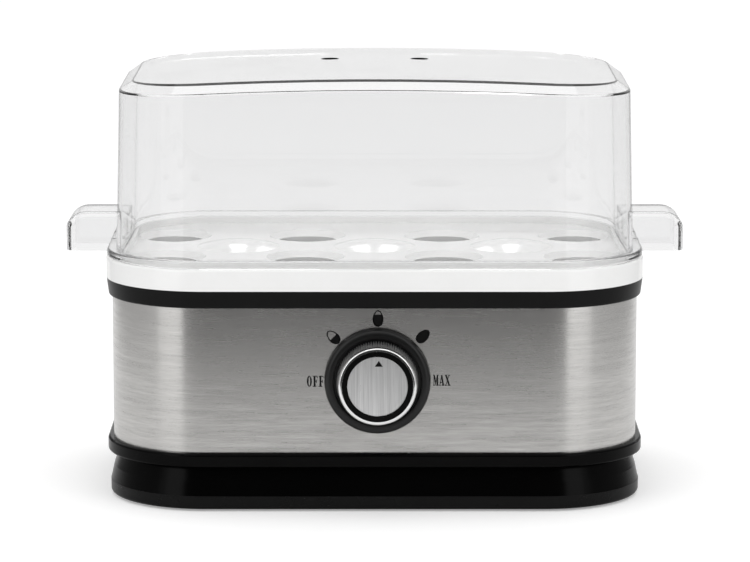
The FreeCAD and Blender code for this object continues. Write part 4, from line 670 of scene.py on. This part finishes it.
@dataclass
class ClearCover:
    """The lid's own shell, its foot raised a hair off the tray so that light gets in between the two."""

    node: str = "egg_lid"
    foot: float = 96.7
    gap: float = 0.06
    reach: float = 0.02

    def build(self, solids: Solids, paint: Paint) -> None:
        """Puts the shell in place of the solid.

        Args:
            solids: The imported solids.
            paint: Where finishes are made.
        """
        solid = solids.nodes[self.node]
        shell = bpy.data.objects.new("clear_cover", solid.data.copy())
        bpy.context.scene.collection.objects.link(shell)
        places = np.empty(len(shell.data.vertices) * 3)
        shell.data.vertices.foreach_get("co", places)
        height = places[2::3]
        height[np.abs(height - self.foot * MM) < self.reach * MM] += self.gap * MM
        shell.data.vertices.foreach_set("co", places)
        shell.data.update()
        paint.on(shell, CLEAR_LID)
        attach(shell, "lid")
        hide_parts(self.node)


# Outlines of each letter's parts in x and z, from its lower left corner

LETTERS: dict[str, tuple[tuple[tuple[float, float], ...], ...]] = {
    "F": (
        ((0.05, 0.0), (1.4, 0.0), (1.4, 0.28), (1.08, 0.28), (1.08, 1.95), (1.35, 1.95), (1.35, 1.5),
         (1.6, 1.5), (1.6, 2.75), (1.35, 2.75), (1.35, 2.25), (1.08, 2.25), (1.08, 4.02), (1.65, 4.02),
         (1.65, 3.4), (1.9, 3.4), (1.9, 4.3), (0.05, 4.3), (0.05, 4.02), (0.36, 4.02), (0.36, 0.28),
         (0.05, 0.28)),
    ),
    "M": (
        ((0.0, 0.0), (0.68, 0.0), (0.68, 0.26), (0.48, 0.26), (0.48, 2.75), (0.95, 0.0), (1.13, 0.0),
         (1.42, 2.3), (1.42, 0.26), (1.24, 0.26), (1.24, 0.0), (2.15, 0.0), (2.15, 0.26), (2.0, 0.26),
         (2.0, 4.04), (2.15, 4.04), (2.15, 4.3), (1.5, 4.3), (1.12, 1.9), (0.68, 4.3), (0.0, 4.3),
         (0.0, 4.04), (0.2, 4.04), (0.2, 0.26), (0.0, 0.26)),
    ),
    "A": (
        ((0.0, 0.0), (0.7, 0.0), (0.7, 0.26), (0.5, 0.26), (0.97, 3.0), (0.97, 4.3), (0.9, 4.3),
         (0.22, 0.26), (0.0, 0.26)),
        ((1.05, 0.0), (2.15, 0.0), (2.15, 0.26), (1.98, 0.26), (1.25, 4.3), (0.97, 4.3), (0.97, 3.0),
         (1.3, 0.26), (1.05, 0.26)),
        ((0.653, 1.15), (1.193, 1.15), (1.16, 1.42), (0.699, 1.42)),
    ),
    "X": (
        ((1.0, 0.0), (2.15, 0.0), (2.15, 0.26), (1.98, 0.26), (0.78, 4.04), (0.95, 4.04), (0.95, 4.3),
         (0.0, 4.3), (0.0, 4.04), (0.14, 4.04), (1.3, 0.26), (1.0, 0.26)),
        ((0.0, 0.0), (0.68, 0.0), (0.68, 0.26), (0.52, 0.26), (0.92, 1.499), (0.783, 1.943), (0.24, 0.26),
         (0.0, 0.26)),
        ((1.256, 2.541), (1.74, 4.04), (1.98, 4.04), (1.98, 4.3), (1.28, 4.3), (1.28, 4.04), (1.46, 4.04),
         (1.117, 2.978)),
    ),
}


@dataclass
class PanelMarks:
    """The generic print on the steel: the words at the ends of the knob's travel, and three egg signs.

    A row of words is a piece's name, its text and the x and z of its lower left corner. A row of eggs is a
    piece's name, the x and z of its middle, its tilt in degrees and the height that its fill reaches.
    """

    words: tuple[tuple[str, str, float, float], ...] = (
        ("word_off", "OFF", -26.6, 50.0),
        ("word_max", "MAX", 22.9, 50.4),
    )
    eggs: tuple[tuple[str, float, float, float, float], ...] = (
        ("egg_sign_soft", -16.15, 69.7, 45.0, 0.0),
        ("egg_sign_medium", 1.3, 77.15, 0.0, 0.5),
        ("egg_sign_hard", 18.9, 70.05, -45.0, 1.0),
    )
    face_y: float = -62.85
    thick: float = 0.05
    sunk: float = 0.02
    letter_pitch: float = 2.32
    ring_centre: tuple[float, float] = (1.0, 2.15)
    ring_outer: tuple[float, float] = (0.97, 2.15)
    ring_inner: tuple[float, float] = (0.3, 1.85)
    ring_points: int = 48
    egg_half_long: float = 3.25
    egg_half_wide: float = 2.1
    egg_taper: float = 0.13
    egg_line: float = 0.46
    fill_rows: int = 24
    fill_columns: int = 9
    fill_start: float = 0.02
    fill_top: float = 0.9998

    def letter(self, sign: str, x: float, z: float) -> list[tuple[Points, Faces]]:
        """One letter with its lower left corner at x, z.

        Args:
            sign: The letter.
            x: Where it starts across.
            z: Where it stands.

        Returns:
            Its meshes.
        """
        front, back = self.face_y - self.thick, self.face_y + self.sunk
        if sign != "O":
            return [slab(np.array(part) + [x, z], front, back) for part in LETTERS[sign]]
        turn = np.linspace(0.0, math.tau, self.ring_points, endpoint=False)
        round_loop = np.column_stack([np.cos(turn), np.sin(turn)])
        centre = np.array(self.ring_centre) + [x, z]
        outer, inner = centre + round_loop * self.ring_outer, centre + round_loop * self.ring_inner
        return [band(outer, inner, front, back)]

    def word(self, name: str, text: str, x: float, z: float) -> bpy.types.Object:
        """A word as one piece, its letters side by side.

        Args:
            name: The piece's name.
            text: The word.
            x: Where it starts across.
            z: Where it stands.

        Returns:
            The piece.
        """
        parts = [p for n, sign in enumerate(text) for p in self.letter(sign, x + n * self.letter_pitch, z)]
        return add_mesh(name, *gathered(parts), smooth=False)

    def egg_loop(self, shrink: float = 0.0) -> Points:
        """An egg's outline: a circle stretched along its length and narrowed towards its top.

        Args:
            shrink: How far inside the outline the loop runs.

        Returns:
            One row of x, z for each point.
        """
        turn = np.linspace(0.0, math.tau, self.ring_points, endpoint=False)
        up = np.sin(turn)
        wide = (self.egg_half_wide - shrink) * np.cos(turn) * (1.0 - self.egg_taper * up)
        return np.column_stack([wide, (self.egg_half_long - shrink) * up])

    def yolk(self, cut: float) -> tuple[Points, Faces]:
        """The filled part of an egg sign: a grid from its bottom up to the cut, each row as wide as the egg.

        Args:
            cut: Share of the half length that the fill reaches, from -1 to 1.

        Returns:
            The points and the faces of a closed sheet, whose front lies just over the steel.
        """
        rows, columns = self.fill_rows, self.fill_columns
        inside = self.egg_line * 0.5
        last = math.pi * 0.5 + math.asin(min(cut, self.fill_top))
        level = -np.cos(np.linspace(self.fill_start, last, rows))
        half = (self.egg_half_wide - inside) * np.sqrt(1.0 - level**2) * (1.0 - self.egg_taper * level)
        across = np.linspace(-1.0, 1.0, columns)
        x = half[:, None] * across[None, :]
        z = np.broadcast_to(((self.egg_half_long - inside) * level)[:, None], x.shape)
        y = np.full(x.shape, self.face_y - self.thick)
        front = np.stack([x, y, z], axis=-1).reshape(-1, 3)
        back = front + [0.0, self.thick + self.sunk, 0.0]
        count = len(front)
        faces = grid_faces(rows, columns)
        edge = np.concatenate([np.arange(columns), np.arange(1, rows) * columns + columns - 1,
                               (rows - 1) * columns + np.arange(columns - 2, -1, -1),
                               np.arange(rows - 2, 0, -1) * columns])
        after = np.roll(edge, -1)
        sides = np.column_stack([edge, edge + count, after + count, after])
        whole = [*faces.tolist(), *(faces[:, ::-1] + count).tolist(), *sides.tolist()]
        return np.vstack([front, back]), whole

    def egg(self, name: str, x: float, z: float, tilt: float, cut: float) -> bpy.types.Object:
        """An egg sign as one piece: an outline with a fill below the cut, turned by the tilt.

        Args:
            name: The piece's name.
            x: The middle of the egg across.
            z: The middle of the egg up.
            tilt: Turn in degrees, positive to the left.
            cut: Share of the half length that the fill reaches.

        Returns:
            The piece.
        """
        line = band(self.egg_loop(), self.egg_loop(self.egg_line), self.face_y - self.thick,
                    self.face_y + self.sunk)
        points, faces = gathered([line, self.yolk(cut)])
        angle = math.radians(tilt)
        turned = np.array(points)
        turned[:, 0] = points[:, 0] * math.cos(angle) - points[:, 2] * math.sin(angle) + x
        turned[:, 2] = points[:, 0] * math.sin(angle) + points[:, 2] * math.cos(angle) + z
        return add_mesh(name, turned, faces, smooth=False)

    def build(self, paint: Paint) -> None:
        """Makes and places every mark."""
        pieces = [self.word(*place) for place in self.words] + [self.egg(*place) for place in self.eggs]
        for piece in pieces:
            paint.on(piece, BLACK_PRINT)
            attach(piece, "base")
            LOG.info("%s is printed on the band", piece.name)


@dataclass
class KnobPointer:
    """The printed triangle on the knob's disc."""

    disc_y: float = -74.75
    thick: float = 0.05
    sunk: float = 0.02
    centre_x: float = 1.6
    top_z: float = 62.5
    wide: float = 3.1
    tall: float = 2.3

    def build(self, paint: Paint) -> None:
        """Makes the triangle and lets it turn with the knob."""
        low, half = self.top_z - self.tall, self.wide * 0.5
        left, right = self.centre_x - half, self.centre_x + half
        outline = np.array([(left, low), (right, low), (self.centre_x, self.top_z)])
        points, faces = slab(outline, self.disc_y - self.thick, self.disc_y + self.sunk)
        pointer = add_mesh("knob_pointer", points, faces, smooth=False)
        paint.on(pointer, BLACK_PRINT)
        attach(pointer, "knob")
        LOG.info("%s is printed on the disc", pointer.name)


# The studio


@dataclass
class Studio:
    """A pale floor under a white sky, soft lamps either side, dark and grey flags, and the camera."""

    camera_place: tuple[float, float, float] = (0.13, -1532.75, 336.97)
    camera_down: float = 9.462
    camera_far: float = 100.0
    focal: float = 183.28
    sensor: float = 36.0
    floor_half: float = 9000.0
    floor_points: int = 9
    floor_patches: float = 3.0
    floor_tone: float = 0.86
    floor_other_tone: float = 0.85
    floor_glow: float = 0.3
    floor_mirrored: float = 0.08
    # The floor's tone as glass sees it: a darker grey, painted shade that dims the lid.
    floor_shade_behind_glass: float = 0.61
    sky_light: float = 0.85
    lamp_distance: float = 1150.0
    lamp_turn: float = 38.0
    lamp_wide: float = 620.0
    lamp_tall: float = 1000.0
    lamp_low: float = 60.0
    lamp_power: float = 1.8
    top_place: tuple[float, float, float] = (0.0, 150.0, 1400.0)
    top_wide: float = 1100.0
    top_tall: float = 900.0
    top_power: float = 2.4
    aim: tuple[float, float, float] = (0.0, 0.0, 70.0)
    flag_foot: float = 2.0
    flag_top: float = 330.0
    flag_points: int = 5
    front_half: float = 220.0
    front_y: float = -320.0
    front_level: float = 0.04
    back_half: float = 700.0
    back_y: float = 1300.0
    back_top: float = 500.0
    back_level: float = 0.85
    side_x: float = 420.0
    side_y: float = -250.0
    side_level: float = 0.45
    card_x: float = 91.0
    card_half: float = 50.0
    card_y: float = 1000.0
    card_foot: float = 590.0
    card_top: float = 1030.0
    card_level: float = 5.0

    def sky(self) -> None:
        """A world that is white to the camera, glass and metal, and lights the object at a plain level."""
        world = bpy.data.worlds.new("white_sky")
        bpy.context.scene.world = world
        world.use_nodes = True
        tree = Tree(world.node_tree)
        path = tree.add("LightPath")
        seen = tree.calc("MAXIMUM", path.outputs["Is Camera Ray"], path.outputs["Is Glossy Ray"])
        seen = tree.calc("MAXIMUM", seen, path.outputs["Is Transmission Ray"])
        background = tree.add("Background", {"Color": opaque(grey(1.0)),
                                             "Strength": tree.spread(seen, self.sky_light, 1.0)})
        output = tree.add("OutputWorld")
        tree.link(background.outputs[0], output.inputs["Surface"])

    def floor(self) -> None:
        """A wide flat sheet, whose own light adds to the lamps' only as camera, glass and metal see it."""
        half = self.floor_half
        side = np.linspace(-half, half, self.floor_points)
        x, y = np.meshgrid(side, side, indexing="xy")
        points = np.stack([x, y, np.zeros_like(x)], axis=-1).reshape(-1, 3)
        sheet = add_mesh("studio_floor", points, grid_faces(side.size, side.size))
        material = bpy.data.materials.new("pale_floor")
        material.use_nodes = True
        tree = Tree(material.node_tree)
        place = tree.add("TexCoord").outputs["Object"]
        mottle = MOTTLE.place(tree, Place=place, Patches=self.floor_patches,
                              Tone=opaque(grey(self.floor_tone)),
                              Other_tone=opaque(grey(self.floor_other_tone)))
        path = tree.add("LightPath")
        # Glass sees the floor in a darker grey: painted shade that dims the clear lid.
        behind = tree.blend(path.outputs["Is Transmission Ray"], mottle.outputs["Colour"],
                            opaque(grey(self.floor_shade_behind_glass)))
        matt = tree.add("BsdfDiffuse", {"Color": behind})
        shown = tree.calc("MAXIMUM", path.outputs["Is Camera Ray"], path.outputs["Is Transmission Ray"])
        shown = tree.calc("MULTIPLY", shown, self.floor_glow)
        mirrored = tree.calc("MULTIPLY", path.outputs["Is Glossy Ray"], self.floor_mirrored)
        glow = tree.add("Emission", {"Color": opaque(grey(1.0)),
                                     "Strength": tree.calc("ADD", shown, mirrored)})
        both = tree.add("AddShader", {0: matt.outputs[0], 1: glow.outputs[0]})
        output = tree.add("OutputMaterial")
        tree.link(both.outputs[0], output.inputs["Surface"])
        sheet.data.materials.append(material)

    def flag(self, name: str, left: Sequence[float], right: Sequence[float], level: float,
             through: bool = False) -> None:
        """A flat upright sheet that only reflections see, as the unlit and the bright parts of a studio.

        Args:
            name: The sheet's name.
            left: Its lower left corner as x, y, z in millimetres.
            right: Its upper right corner.
            level: How bright it is seen.
            through: True where glass sees it as well.
        """
        share = np.linspace(0.0, 1.0, self.flag_points)
        low, high = np.array(left), np.array(right)
        across, up = np.meshgrid(share, share, indexing="xy")
        points = low + (high - low) * np.stack([across, across, up], axis=-1)
        sheet = add_mesh(name, points.reshape(-1, 3), grid_faces(share.size, share.size))
        material = bpy.data.materials.new(name + "_cloth")
        material.use_nodes = True
        tree = Tree(material.node_tree)
        glow = tree.add("Emission", {"Color": opaque(grey(1.0)), "Strength": level})
        output = tree.add("OutputMaterial")
        tree.link(glow.outputs[0], output.inputs["Surface"])
        sheet.data.materials.append(material)
        sheet.visible_camera = False
        sheet.visible_diffuse = False
        sheet.visible_transmission = through
        sheet.visible_shadow = False

    def flags(self) -> None:
        """A dark sheet in front, a grey one on each side and behind, and two bright cards up behind."""
        foot = self.flag_foot
        self.flag("front_flag", (-self.front_half, self.front_y, foot),
                  (self.front_half, self.front_y, self.flag_top), self.front_level)
        self.flag("back_flag", (-self.back_half, self.back_y, foot),
                  (self.back_half, self.back_y, self.back_top), self.back_level)
        for name, side in (("left", -1.0), ("right", 1.0)):
            self.flag(name + "_flag", (side * self.side_x, self.side_y, foot),
                      (side * self.side_x, self.back_y, self.flag_top), self.side_level)
            centre = side * self.card_x
            self.flag(name + "_card", (centre - self.card_half, self.card_y, self.card_foot),
                      (centre + self.card_half, self.card_y, self.card_top), self.card_level, through=True)

    def lamp(self, name: str, place: Vector, aim: Vector, wide: float, tall: float, power: float) -> None:
        """A soft rectangular lamp.

        Args:
            name: The lamp's name.
            place: Where it hangs, in millimetres.
            aim: What it faces, in millimetres.
            wide: Its width in millimetres.
            tall: Its height in millimetres.
            power: Its power in watts.
        """
        light = bpy.data.lights.new(name, "AREA")
        light.shape = "RECTANGLE"
        light.size = wide * MM
        light.size_y = tall * MM
        light.energy = power
        made = bpy.data.objects.new(name, light)
        made.location = place * MM
        made.rotation_euler = (aim - place).to_track_quat("-Z", "Y").to_euler()
        made.visible_camera = False
        bpy.context.scene.collection.objects.link(made)

    def lamps(self) -> None:
        """Two soft boxes beside the camera and one overhead."""
        aim = Vector(self.aim)
        turn = math.radians(self.lamp_turn)
        across, ahead = self.lamp_distance * math.sin(turn), self.lamp_distance * math.cos(turn)
        height = self.lamp_low + self.lamp_tall * 0.5
        for name, side in (("left_softbox", -1.0), ("right_softbox", 1.0)):
            place = Vector((side * across, -ahead, height))
            self.lamp(name, place, aim, self.lamp_wide, self.lamp_tall, self.lamp_power)
        self.lamp("top_softbox", Vector(self.top_place), aim, self.top_wide, self.top_tall, self.top_power)

    def camera(self) -> None:
        """The camera at the photograph's place and angle."""
        lens = bpy.data.cameras.new("photo_camera")
        lens.lens = self.focal
        lens.sensor_width = self.sensor
        lens.clip_end = self.camera_far
        made = bpy.data.objects.new("photo_camera", lens)
        made.location = Vector(self.camera_place) * MM
        made.rotation_euler = (math.radians(90.0 - self.camera_down), 0.0, 0.0)
        bpy.context.scene.collection.objects.link(made)
        bpy.context.scene.camera = made

    def build(self) -> None:
        """Sets up everything round the object."""
        bpy.context.scene.view_settings.view_transform = "Standard"
        self.sky()
        self.floor()
        self.flags()
        self.lamps()
        self.camera()
        LOG.info("the studio is lit")


def main() -> None:
    """Dresses the solids, adds the pieces and the studio."""
    logging.basicConfig(level=logging.INFO, format="%(message)s")
    paint = Paint()
    solids = Solids(frame["nodes"])
    solids.dress(paint)
    ClearCover().build(solids, paint)
    PanelMarks().build(paint)
    KnobPointer().build(paint)
    Studio().build()


if __name__ == "__main__":
    main()
